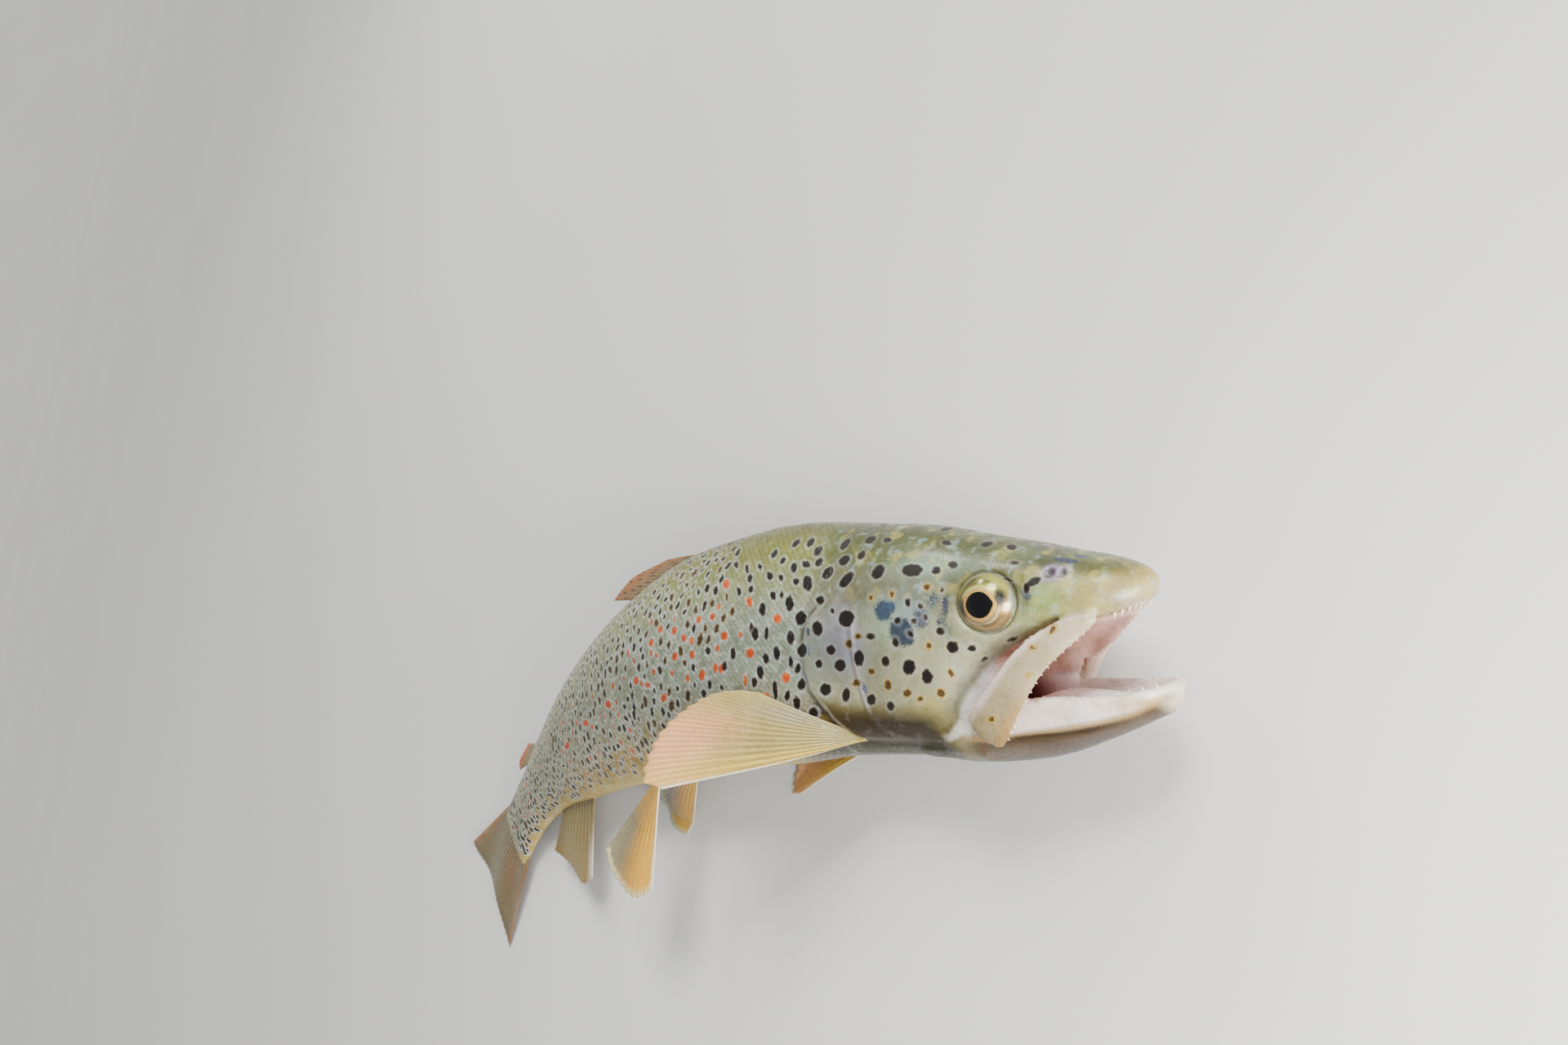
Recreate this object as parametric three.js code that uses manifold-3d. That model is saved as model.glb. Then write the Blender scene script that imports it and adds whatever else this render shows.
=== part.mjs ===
// A brown trout, life size, lying on its left side with its mouth open and its body bent towards the belly.
//
// Lengths are in millimetres, +Z is up. The snout points along +X, the back faces +Y and the right flank
// faces +Z.
// Every shape is first described on a straight fish and is then laid along the bent spine by pose():
//   s  distance behind the snout tip, measured along the spine
//   y  height towards the back
//   w  distance from the middle plane towards the right flank
import * as THREE from 'three';
import { mergeVertices } from 'three/addons/utils/BufferGeometryUtils.js';
import Module from 'manifold-3d';

const wasm = await Module();
wasm.setup();

// ------------------------------------------------------------------------------------------
// Driving dimensions
// ------------------------------------------------------------------------------------------
const STANDARD_LENGTH = 341;
const TOTAL_LENGTH = 385;
const SNOUT_TIP = 0.4;
const HEAD_END = 80;
const TRUNK_SPLIT = 182;
const TAIL_START = 258;
const GAP = 0.3;
const SIDES = 24;

// How the spine lies: its direction turns from HEAD_TURN to TAIL_TURN along the body. The head is rolled
// about the spine by HEAD_ROLL, which fades out at ROLL_END.
const HEAD_TURN = 6.8;
const TAIL_TURN = 53.6;
const BEND_START = 60;
const BEND_END = 350;
const BEND_POWER = 1.53;
const HEAD_ROLL = 14;
const ROLL_END = 150;
const ROLL_LENGTH = 90;

// Body profiles at distances behind the snout tip.
const TOP = [[0.4, 7.6], [1.5, 9.8], [5, 11.9], [9.5, 13.6], [18, 15.9], [27.5, 18.7], [42, 22.5],
  [54, 25.9], [84, 31.6], [122, 36.6], [158, 37.8], [192, 34.1], [228, 29.1], [258, 24.6], [290, 19.2],
  [318, 15.4], [341, 15.6]];
const BELLY = [[52, -35.1], [72, -35.3], [95, -35.8], [122, -37.9], [158, -38.8], [192, -36.8],
  [228, -32.4], [258, -27.5], [290, -19.2], [318, -15], [341, -15.4]];
const HALF_WIDTH = [[0.4, 2.2], [1.5, 4.6], [5, 8], [12, 11.6], [24, 14], [36, 15.8], [60, 19.5], [84, 21],
  [122, 22], [158, 22], [192, 20.5], [228, 17], [258, 13.6], [290, 9.4], [318, 6.1], [341, 3.2]];
const SPINE_HEIGHT = [[0, 24.4], [35, 24.6], [60, 23.5], [84, 22.1], [122, 21.9], [158, 21.8], [192, 20.4],
  [228, 17.3], [258, 13.9], [290, 10], [318, 7], [341, 4.4], [385, 1.2]];

// Head: underside with the roof of the mouth, and the lower jaw.
const PALATE = [[0.4, 4.8], [1.5, 3.6], [4, 1.8], [10, -0.3], [20, -2], [27, -4.2], [35, -8], [41, -13],
  [46, -18.5], [50, -24], [55, -27], [95, -27.6]];
const MOUTH_ROOF = [[3, 1.8], [10, 3], [22, 2.6], [34, -1.5], [44, -9], [52, -18], [58, -24]];
const MOUTH_ROOF_WIDTH = [[3, 1.2], [6, 4], [12, 7.6], [24, 10.2], [40, 11.6], [52, 11], [58, 8]];
const JAW_RIM = [[-1.9, -16.2], [-0.8, -14.9], [3, -15], [8.5, -15.9], [16, -15.9], [25, -15.8],
  [35, -18.4], [45, -23], [51.5, -26.4]];
const JAW_BOTTOM = [[-1.9, -18.6], [0.2, -21.7], [4.4, -23.7], [11.1, -26.6], [17.8, -29.2], [25, -31.8],
  [34, -33.8], [46, -35], [51.5, -35.1]];
const JAW_HALF_WIDTH = [[-1.9, 1.6], [-0.7, 4.4], [3, 8.2], [9, 10.6], [16, 12.2], [26, 13.2], [40, 13.8],
  [51.5, 14.4]];
const JAW_START = -1.9;
const JAW_END = 51.5;
const MOUTH_FLOOR = [[2.4, -17.6], [8, -20.2], [20, -22.4], [34, -24.6], [50, -27.6]];
const JAW_WALL = 2.6;
const JAW_RIM_ROUNDING = 1.3;
const THROAT_TOP = -28;
const THROAT_END = 94;

// Maxilla: the hinged blade at the side of the mouth.
const MAXILLA_LINE = [[10, 1.2, 11.6], [16.5, -1.8, 13.9], [25, -7.6, 15.9], [32, -15.4, 17],
  [36.6, -22, 17.2], [38.8, -25.6, 16.8]];
const MAXILLA_HALF_BREADTH = [[0, 1.4], [0.15, 2.9], [0.4, 4.2], [0.65, 5.2], [0.85, 5.6], [0.95, 4.2],
  [1, 2.2]];
const MAXILLA_THICKNESS = 3;

// Gill cover: front edge and rear edge as [height, distance behind the snout tip].
const GILL_COVER_FRONT = [[-27, 77], [-21, 75.5], [-9.8, 74.6], [-2.2, 74], [10, 75]];
const GILL_COVER_REAR = [[-27, 88], [-20, 93.5], [-12, 96.5], [-3.4, 95.5], [3.4, 93.5], [10, 86.5]];
const GILL_COVER_THICKNESS = 3;

// Eye: nearly round ball set obliquely in the side of the head.
const EYE = { s: 35.4, y: 6.1, w: 12.2, radius: 7.5, depth: 5.8, forwardTurn: 13, upTurn: 9 };

// ------------------------------------------------------------------------------------------
// Curves and pose
// ------------------------------------------------------------------------------------------
const radians = THREE.MathUtils.degToRad;

// Smooth curve through [position, value] stations that keeps between neighbouring values.
function profile(stations) {
  const n = stations.length;
  const secant = [];
  for (let i = 0; i < n - 1; i += 1) {
    secant.push((stations[i + 1][1] - stations[i][1]) / (stations[i + 1][0] - stations[i][0]));
  }
  const slope = [secant[0]];
  for (let i = 1; i < n - 1; i += 1) {
    const turns = secant[i - 1] * secant[i] <= 0;
    slope.push(turns ? 0 : 2 * secant[i - 1] * secant[i] / (secant[i - 1] + secant[i]));
  }
  slope.push(secant[n - 2]);
  return (x) => {
    const at = THREE.MathUtils.clamp(x, stations[0][0], stations[n - 1][0]);
    let i = 0;
    while (i < n - 2 && at > stations[i + 1][0]) {
      i += 1;
    }
    const span = stations[i + 1][0] - stations[i][0];
    const t = (at - stations[i][0]) / span;
    const blend = 3 * t ** 2 - 2 * t ** 3;
    const rise = (1 - blend) * stations[i][1] + blend * stations[i + 1][1];
    return rise + span * ((t ** 3 - 2 * t ** 2 + t) * slope[i] + (t ** 3 - t ** 2) * slope[i + 1]);
  };
}

const topAt = profile(TOP);
const bellyAt = profile(BELLY);
const halfWidthAt = profile(HALF_WIDTH);
const spineHeightAt = profile(SPINE_HEIGHT);
const palateAt = profile(PALATE);
const roofAt = profile(MOUTH_ROOF);
const roofWidthAt = profile(MOUTH_ROOF_WIDTH);
const rimAt = profile(JAW_RIM);
const jawBottomAt = profile(JAW_BOTTOM);
const jawHalfWidthAt = profile(JAW_HALF_WIDTH);
const mouthFloorAt = profile(MOUTH_FLOOR);

function spineTurn(s) {
  const along = THREE.MathUtils.clamp((s - BEND_START) / (BEND_END - BEND_START), 0, 1);
  return radians(HEAD_TURN + (TAIL_TURN - HEAD_TURN) * along ** BEND_POWER);
}

function spineSlope(s) {
  const step = 0.5;
  return (spineHeightAt(s + step) - spineHeightAt(s - step)) / (2 * step);
}

// The spine as a row of points one SPINE_STEP apart, starting ahead of the snout.
const SPINE_STEP = 0.5;
const SPINE_FROM = -10;
const SPINE_TO = 410;
const spine = [new THREE.Vector2(0, 0)];
for (let s = SPINE_FROM; s < SPINE_TO; s += SPINE_STEP) {
  const middle = s + SPINE_STEP / 2;
  const flat = Math.sqrt(1 - spineSlope(middle) ** 2) * SPINE_STEP;
  const turn = spineTurn(middle);
  const ahead = new THREE.Vector2(Math.cos(turn), Math.sin(turn));
  spine.push(spine[spine.length - 1].clone().addScaledVector(ahead, -flat));
}

// Turns a point of the straight fish into its place on the lying, bent fish.
function pose(s, y, w) {
  const place = (s - SPINE_FROM) / SPINE_STEP;
  const i = Math.min(Math.floor(place), spine.length - 2);
  const on = spine[i].clone().lerp(spine[i + 1], place - i);
  const turn = spineTurn(s);
  const slope = spineSlope(s);
  const flat = Math.sqrt(1 - slope ** 2);
  const along = new THREE.Vector3(Math.cos(turn) * flat, Math.sin(turn) * flat, -slope);
  const up = new THREE.Vector3(-Math.sin(turn), Math.cos(turn), 0);
  const side = new THREE.Vector3().crossVectors(along, up);
  const ease = THREE.MathUtils.clamp((ROLL_END - s) / ROLL_LENGTH, 0, 1);
  const roll = radians(HEAD_ROLL) * ease * ease * (3 - 2 * ease);
  const high = y * Math.cos(roll) - w * Math.sin(roll);
  const out = y * Math.sin(roll) + w * Math.cos(roll);
  const centre = new THREE.Vector3(on.x, on.y, spineHeightAt(s));
  return centre.addScaledVector(up, high).addScaledVector(side, out);
}

// ------------------------------------------------------------------------------------------
// Closed solids
// ------------------------------------------------------------------------------------------
function solid(points, faces) {
  const flat = points.flatMap((p) => [p.x, p.y, p.z]);
  const geometry = new THREE.BufferGeometry();
  geometry.setAttribute('position', new THREE.Float32BufferAttribute(flat, 3));
  geometry.setIndex(faces.flat());
  const merged = mergeVertices(geometry, 1e-5);
  const mesh = new wasm.Mesh({
    numProp: 3,
    vertProperties: new Float32Array(merged.attributes.position.array),
    triVerts: new Uint32Array(merged.index.array),
  });
  const body = new wasm.Manifold(mesh);
  if (body.volume() > 0) {
    return body;
  }
  return solid(points, faces.map(([a, b, c]) => [a, c, b]));
}

// Skins a row of equal rings and closes both ends with a fan.
function loft(rings) {
  const n = rings[0].length;
  const points = rings.flat();
  const faces = [];
  for (let i = 0; i < rings.length - 1; i += 1) {
    for (let j = 0; j < n; j += 1) {
      const next = (j + 1) % n;
      faces.push([i * n + j, i * n + next, (i + 1) * n + next]);
      faces.push([i * n + j, (i + 1) * n + next, (i + 1) * n + j]);
    }
  }
  for (const [row, flip] of [[0, true], [rings.length - 1, false]]) {
    const middle = rings[row].reduce((sum, p) => sum.add(p), new THREE.Vector3()).divideScalar(n);
    const hub = points.push(middle) - 1;
    for (let j = 0; j < n; j += 1) {
      const a = row * n + j;
      const b = row * n + (j + 1) % n;
      faces.push(flip ? [hub, b, a] : [hub, a, b]);
    }
  }
  return solid(points, faces);
}

// A sheet of even cells, given as a function of u and v from 0 to 1, thickened to both sides.
function slab(surface, thickness, across, along) {
  const points = [];
  const cell = (i, j) => surface(i / across, j / along);
  for (const side of [1, -1]) {
    for (let i = 0; i <= across; i += 1) {
      for (let j = 0; j <= along; j += 1) {
        const here = cell(i, j);
        const du = cell(Math.min(i + 1, across), j).sub(cell(Math.max(i - 1, 0), j));
        const dv = cell(i, Math.min(j + 1, along)).sub(cell(i, Math.max(j - 1, 0)));
        const normal = du.cross(dv).normalize();
        points.push(here.addScaledVector(normal, side * thickness(i / across, j / along) / 2));
      }
    }
  }
  const row = along + 1;
  const back = (across + 1) * row;
  const faces = [];
  const quad = (a, b, c, d) => faces.push([a, b, c], [a, c, d]);
  for (let i = 0; i < across; i += 1) {
    for (let j = 0; j < along; j += 1) {
      const a = i * row + j;
      quad(a, a + row, a + row + 1, a + 1);
      quad(back + a, back + a + 1, back + a + row + 1, back + a + row);
    }
    const near = i * row;
    const far = near + along;
    quad(near, back + near, back + near + row, near + row);
    quad(far, far + row, back + far + row, back + far);
  }
  for (let j = 0; j < along; j += 1) {
    const last = across * row + j;
    quad(j, j + 1, back + j + 1, back + j);
    quad(last, back + last, back + last + 1, last + 1);
  }
  return solid(points, faces);
}

function stationsBetween(from, to, step) {
  const count = Math.max(2, Math.round((to - from) / step));
  return Array.from({ length: count + 1 }, (_, i) => from + (to - from) * i / count);
}

// One cross-section: an oval with its own top, bottom and half width; low > 2 squares its lower corners.
function section(s, top, bottom, halfWidth, low = 2, level = (top + bottom) / 2, sides = SIDES) {
  return Array.from({ length: sides }, (_, i) => {
    const turn = 2 * Math.PI * (i + 0.5) / sides;
    const power = Math.sin(turn) < 0 ? 2 / low : 1;
    const up = Math.sign(Math.sin(turn)) * Math.abs(Math.sin(turn)) ** power;
    const out = Math.sign(Math.cos(turn)) * Math.abs(Math.cos(turn)) ** power;
    const reach = up > 0 ? top - level : level - bottom;
    return pose(s, level + up * reach, out * halfWidth);
  });
}

// The body between two stations, thicker by grow all round.
function bodyLoft(from, to, step, grow = 0) {
  const rings = stationsBetween(from, to, step).map((s) => (
    section(s, topAt(s) + grow, bellyAt(s) - grow, halfWidthAt(s) + grow, 2, 0)));
  return loft(rings);
}

const FLOOR_BLOCK = { size: 900, height: 60 };
const floorBlock = (() => {
  const box = new THREE.BoxGeometry(FLOOR_BLOCK.size, FLOOR_BLOCK.size, FLOOR_BLOCK.height);
  box.translate(0, 0, -FLOOR_BLOCK.height / 2);
  box.deleteAttribute('normal');
  box.deleteAttribute('uv');
  const merged = mergeVertices(box);
  return new wasm.Manifold(new wasm.Mesh({
    numProp: 3,
    vertProperties: new Float32Array(merged.attributes.position.array),
    triVerts: new Uint32Array(merged.index.array),
  }));
})();

function cone(foot, tip, radius) {
  const sides = 5;
  const axis = tip.clone().sub(foot).normalize();
  const across = new THREE.Vector3(axis.y, axis.z, axis.x).cross(axis).normalize();
  const other = new THREE.Vector3().crossVectors(axis, across);
  const sink = foot.clone().addScaledVector(axis, -radius);
  const points = Array.from({ length: sides }, (_, i) => {
    const turn = 2 * Math.PI * i / sides;
    return sink.clone()
      .addScaledVector(across, radius * Math.cos(turn))
      .addScaledVector(other, radius * Math.sin(turn));
  });
  points.push(sink, tip);
  const faces = [];
  for (let i = 0; i < sides; i += 1) {
    const next = (i + 1) % sides;
    faces.push([i, next, sides + 1], [next, i, sides]);
  }
  return solid(points, faces);
}

// ------------------------------------------------------------------------------------------
// Gill covers, eyes and maxillae, each with the room that it needs in its neighbours
// ------------------------------------------------------------------------------------------
const coverFrontAt = profile(GILL_COVER_FRONT);
const coverRearAt = profile(GILL_COVER_REAR);

// The shell of the flank between depths inner and outer under the gill cover's outline, widened by edge.
function coverBlock(side, outer, inner, edge) {
  const low = GILL_COVER_FRONT[0][0] - edge;
  const high = GILL_COVER_FRONT[GILL_COVER_FRONT.length - 1][0] + edge;
  const rows = 8;
  const columns = 4;
  const surface = (grow) => (u, v) => {
    const y = low + (high - low) * u;
    const front = coverFrontAt(y) - edge;
    const rear = coverRearAt(y) + edge;
    const s = front + (rear - front) * v;
    const reach = y > 0 ? topAt(s) : -bellyAt(s);
    const w = halfWidthAt(s) * Math.sqrt(1 - (y / reach) ** 2) + grow;
    return pose(s, y, side * w);
  };
  const outside = surface(-outer);
  const inside = surface(-inner);
  const points = [];
  for (const sheet of [outside, inside]) {
    for (let i = 0; i <= rows; i += 1) {
      for (let j = 0; j <= columns; j += 1) {
        points.push(sheet(i / rows, j / columns));
      }
    }
  }
  const row = columns + 1;
  const back = (rows + 1) * row;
  const faces = [];
  const quad = (a, b, c, d) => faces.push([a, b, c], [a, c, d]);
  for (let i = 0; i < rows; i += 1) {
    for (let j = 0; j < columns; j += 1) {
      const a = i * row + j;
      quad(a, a + row, a + row + 1, a + 1);
      quad(back + a, back + a + 1, back + a + row + 1, back + a + row);
    }
    const near = i * row;
    const far = near + columns;
    quad(near, back + near, back + near + row, near + row);
    quad(far, far + row, back + far + row, back + far);
  }
  for (let j = 0; j < columns; j += 1) {
    const last = rows * row + j;
    quad(j, j + 1, back + j + 1, back + j);
    quad(last, back + last, back + last + 1, last + 1);
  }
  return solid(points, faces);
}

const COVER_TRIM = 0.4;
const gillCover = (side) => coverBlock(side, COVER_TRIM, GILL_COVER_THICKNESS, 0);
const gillCoverRoom = (side) => coverBlock(side, -3, GILL_COVER_THICKNESS + GAP, GAP);

// The eyeball as a flattened ball whose axis is turned forward and up.
function eyeball(side, grow) {
  const rows = 8;
  const sides = 20;
  const forward = Math.sin(radians(EYE.forwardTurn));
  const upward = Math.sin(radians(EYE.upTurn));
  const axis = new THREE.Vector3(-forward, upward, side).normalize();
  const ahead = new THREE.Vector3(1, 0, axis.x * -side).normalize();
  const up = new THREE.Vector3().crossVectors(axis, ahead).normalize();
  const across = new THREE.Vector3().crossVectors(up, axis).normalize();
  const rings = Array.from({ length: rows - 1 }, (_, i) => {
    const lean = Math.PI * (i + 1) / rows;
    return Array.from({ length: sides }, (__, j) => {
      const turn = 2 * Math.PI * j / sides;
      const reach = (EYE.radius + grow) * Math.sin(lean);
      const p = new THREE.Vector3(EYE.s, EYE.y, side * EYE.w)
        .addScaledVector(axis, (EYE.depth + grow) * Math.cos(lean))
        .addScaledVector(across, reach * Math.cos(turn))
        .addScaledVector(up, reach * Math.sin(turn));
      return pose(p.x, p.y, p.z);
    });
  });
  return loft(rings);
}

// The maxilla: oval rings across a curved line that runs down and back beside the mouth.
function maxilla(side, grow) {
  const stations = MAXILLA_LINE.map(([s, y, w]) => new THREE.Vector3(s, y, side * w));
  const line = new THREE.CatmullRomCurve3(stations);
  const breadthAt = profile(MAXILLA_HALF_BREADTH);
  const steps = 12;
  const sides = 10;
  const rings = Array.from({ length: steps + 1 }, (_, i) => {
    const t = i / steps;
    const centre = line.getPoint(t);
    const ahead = line.getTangent(t);
    const across = new THREE.Vector3(-ahead.y, ahead.x, 0).normalize();
    const out = new THREE.Vector3(0, 0, 1);
    const end = i === 0 || i === steps ? grow : 0;
    const sunk = centre.clone().addScaledVector(ahead, i === 0 ? -end : end);
    return Array.from({ length: sides }, (__, j) => {
      const turn = 2 * Math.PI * (j + 0.5) / sides;
      const p = sunk.clone()
        .addScaledVector(across, (breadthAt(t) + grow) * Math.cos(turn))
        .addScaledVector(out, (MAXILLA_THICKNESS / 2 + grow) * Math.sin(turn));
      return pose(p.x, p.y, p.z);
    });
  });
  return loft(rings);
}

// ------------------------------------------------------------------------------------------
// Teeth
// ------------------------------------------------------------------------------------------
const TOOTH_RADIUS = 0.7;
const UPPER_TEETH = { perSide: 6, length: 1.7, from: 8, to: 74 };
const LOWER_TEETH = { perSide: 8, length: 1.6, from: 2, to: 24 };

// Upper teeth stand along the front lip, an arc seen from below.
function upperTeeth() {
  const teeth = [];
  for (const side of [-1, 1]) {
    for (let i = 0; i < UPPER_TEETH.perSide; i += 1) {
      const along = i / (UPPER_TEETH.perSide - 1);
      const turn = radians(THREE.MathUtils.lerp(UPPER_TEETH.from, UPPER_TEETH.to, along));
      const s = 8.6 - 6.4 * Math.cos(turn);
      const w = side * (halfWidthAt(s) - 1.6) * Math.min(1, Math.sin(turn) + 0.02);
      const y = palateAt(s) + 0.3;
      teeth.push(cone(pose(s, y, w), pose(s + 0.5, y - UPPER_TEETH.length, w * 0.97), TOOTH_RADIUS));
    }
  }
  return teeth;
}

// Lower teeth stand along the jaw rim and lean a little inwards.
function lowerTeeth() {
  const teeth = [];
  for (const side of [-1, 1]) {
    for (let i = 0; i < LOWER_TEETH.perSide; i += 1) {
      const s = THREE.MathUtils.lerp(LOWER_TEETH.from, LOWER_TEETH.to, i / (LOWER_TEETH.perSide - 1));
      const inset = 1 - JAW_WALL * 0.7 / jawHalfWidthAt(s);
      const w = side * jawHalfWidthAt(s) * inset;
      const y = rimAt(s) - JAW_RIM_ROUNDING * (1 - Math.sqrt(1 - inset ** 2)) - 0.2;
      teeth.push(cone(pose(s, y, w), pose(s + 0.5, y + LOWER_TEETH.length, w * 0.96), TOOTH_RADIUS));
    }
  }
  return teeth;
}

const joined = (first, others) => others.reduce((sum, piece) => sum.add(piece), first);
const without = (first, others) => others.reduce((rest, piece) => rest.subtract(piece), first);

// ------------------------------------------------------------------------------------------
// Head, jaw, tongue and throat
// ------------------------------------------------------------------------------------------
const sides = { right: 1, left: -1 };

function head() {
  const stations = [SNOUT_TIP, 1.1, 2.2, 4, 7, 10.5, 14.5, 19, 24, 29, 33, 37, 41, 45, 48, 51, 55, 62, 70,
    HEAD_END];
  const rings = stations.map((s) => {
    const bottom = palateAt(s);
    const snoutLevel = THREE.MathUtils.lerp(bottom, topAt(s), 0.38);
    const level = THREE.MathUtils.lerp(snoutLevel, 0, THREE.MathUtils.smoothstep(s, 26, 60));
    return section(s, topAt(s), bottom, halfWidthAt(s), 3, Math.max(level, bottom + 3));
  });
  const mouthStations = [3, 5, 8, 13, 20, 28, 36, 44, 51, 58];
  const mouth = loft(mouthStations.map((s) => (
    section(s, roofAt(s), palateAt(s) - 9, roofWidthAt(s), 2.6, palateAt(s) - 2, 14))));
  const room = Object.values(sides).flatMap((side) => (
    [eyeball(side, GAP), maxilla(side, GAP), gillCoverRoom(side)]));
  return joined(without(loft(rings), [mouth, ...room]), upperTeeth());
}

function lowerJaw() {
  const stations = [JAW_START, -1.1, 0.2, 2.4, 5.5, 9, 14, 20, 27, 35, 43, JAW_END];
  const outer = loft(stations.map((s) => (
    section(s, rimAt(s), jawBottomAt(s), jawHalfWidthAt(s), 2, rimAt(s) - JAW_RIM_ROUNDING))));
  const inner = loft([2.4, 5, 9, 15, 22, 30, 40, JAW_END + 1].map((s) => (
    section(s, rimAt(s) + 4, mouthFloorAt(s), jawHalfWidthAt(s) - JAW_WALL, 2, rimAt(s), 16))));
  const room = Object.values(sides).map((side) => maxilla(side, GAP));
  return joined(without(outer, [inner, ...room]), lowerTeeth());
}

const TONGUE = { from: 9, to: 46, halfWidth: 5.2, rise: 2.6, lift: 0.5 };

function tongue() {
  return loft(stationsBetween(TONGUE.from, TONGUE.to, 6).map((s) => {
    const along = (s - TONGUE.from) / (TONGUE.to - TONGUE.from);
    const width = TONGUE.halfWidth * Math.sqrt(Math.min(1, 0.16 + 3 * along));
    const bottom = mouthFloorAt(s) + TONGUE.lift;
    return section(s, bottom + TONGUE.rise, bottom, width, 2, bottom + TONGUE.rise / 2, 12);
  }));
}

// The throat closes the underside between the jaw and the belly.
function throat() {
  const from = JAW_END + GAP;
  const rings = stationsBetween(from, THROAT_END, 7).map((s) => {
    const reach = Math.sqrt(1 - (THROAT_TOP / bellyAt(s)) ** 2);
    return section(s, THROAT_TOP, bellyAt(s), halfWidthAt(s) * reach, 2, THROAT_TOP - 0.6, 16);
  });
  return without(loft(rings), Object.values(sides).map(gillCoverRoom));
}

// ------------------------------------------------------------------------------------------
// Trunk and tail
// ------------------------------------------------------------------------------------------
function trunkFront() {
  const body = bodyLoft(HEAD_END + GAP, TRUNK_SPLIT, 9);
  const throatRoom = loft(stationsBetween(HEAD_END - 2, THROAT_END + GAP, 7).map((s) => (
    section(s, THROAT_TOP + GAP, bellyAt(s) - 4, halfWidthAt(s), 2, THROAT_TOP - 1, 16))));
  return without(body, [throatRoom, ...Object.values(sides).map(gillCoverRoom)]);
}

const trunkRear = () => bodyLoft(TRUNK_SPLIT + GAP, TAIL_START, 9);
const tail = () => bodyLoft(TAIL_START + GAP, STANDARD_LENGTH, 9);

// ------------------------------------------------------------------------------------------
// Fins
// ------------------------------------------------------------------------------------------
// A fin is a fan of rays. root holds its front and rear ends, back and across span its plane, rays holds
// the angles of the first and last ray from back, lengths the ray lengths from front to rear, and belly bows
// it sideways.
const FINS = {
  dorsal_fin: {
    root: [[149, 35, 0], [197, 31, 0]], back: [1, 0, 0], across: [0, 1, 0], rays: [13, 24],
    lengths: [[0, 36], [0.35, 37], [0.7, 31], [1, 26]], thickness: [2, 0.8], belly: 0, cells: [6, 9],
  },
  adipose_fin: {
    root: [[298, 17, 0], [309, 15.6, 0]], back: [1, 0, 0], across: [0, 1, 0], rays: [38, 22],
    lengths: [[0, 15], [0.5, 17], [1, 15]], thickness: [2.2, 1], belly: 0, cells: [4, 4],
  },
  anal_fin: {
    root: [[259, -25.5, 0], [292, -17.5, 0]], back: [1, 0, 0], across: [0, -1, 0], rays: [58, 30],
    lengths: [[0, 33], [0.2, 36], [0.6, 28], [1, 21]], thickness: [2, 0.8], belly: 0, cells: [6, 8],
  },
  pelvic_fin_right: {
    root: [[184, -33.5, 8.5], [193, -34.5, 3.5]], back: [0.5, -0.83, 0.25], across: [-0.62, -0.53, -0.58],
    rays: [20, -17], lengths: [[0, 40], [0.3, 44], [0.7, 40], [1, 33]], thickness: [2, 0.8], belly: 3,
    cells: [6, 7],
  },
  pelvic_fin_left: {
    root: [[184, -33.5, -8], [193, -34, -3.5]], back: [0.96, -0.12, -0.26], across: [-0.14, -0.97, -0.2],
    rays: [22, -8], lengths: [[0, 41], [0.3, 44], [0.7, 39], [1, 31]], thickness: [2, 0.8], belly: 0,
    cells: [6, 7],
  },
  pectoral_fin_right: {
    root: [[89, -30, 12.4], [89, -25.6, 13.8]], back: [0.866, 0, 0.5], across: [0, 1, 0],
    rays: [-13.5, 24], lengths: [[0, 56], [0.08, 62], [0.3, 58], [0.6, 47], [0.85, 36], [1, 26]],
    thickness: [2.2, 0.8], belly: -2, cells: [8, 9],
  },
  pectoral_fin_left: {
    root: [[89, -30, -12.4], [89, -25.6, -13.8]], back: [0.98, -0.1, -0.17], across: [0.08, 0.97, -0.22],
    rays: [-12, 16], lengths: [[0, 55], [0.08, 61], [0.3, 57], [0.6, 45], [0.85, 35], [1, 25]],
    thickness: [2.2, 0.8], belly: 0, cells: [8, 9],
  },
};
const FIN_ROOT_SINK = 5;
const FLOOR_CLEARANCE = 0.5;

const vector = ([s, y, w]) => new THREE.Vector3(s, y, w);

function finSurface({ root, back, across, rays, lengths, belly }) {
  const from = vector(root[0]);
  const to = vector(root[1]);
  const ahead = vector(back).normalize();
  const over = vector(across).normalize();
  const bow = new THREE.Vector3().crossVectors(ahead, over);
  const lengthAt = profile(lengths);
  return (u, v) => {
    const turn = radians(THREE.MathUtils.lerp(rays[0], rays[1], v));
    const reach = (lengthAt(v) + FIN_ROOT_SINK) * u - FIN_ROOT_SINK;
    const p = from.clone().lerp(to, v)
      .addScaledVector(ahead, reach * Math.cos(turn))
      .addScaledVector(over, reach * Math.sin(turn))
      .addScaledVector(bow, belly * Math.sin(Math.PI * v) * u * u);
    const placed = pose(p.x, p.y, p.z);
    placed.z = Math.max(placed.z, FLOOR_CLEARANCE);
    return placed;
  };
}

function fin(shape) {
  const thicknessAt = (u) => THREE.MathUtils.lerp(shape.thickness[0], shape.thickness[1], Math.sqrt(u));
  return slab(finSurface(shape), thicknessAt, shape.cells[0], shape.cells[1]);
}

// The tail fin: a shallow fork between an upper and a lower lobe, thick at the stalk and thin at its edge.
const CAUDAL = { rootHalf: 15, tipHalf: 30, forkDepth: 7, rootThickness: 4, edgeThickness: 0.9 };

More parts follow.
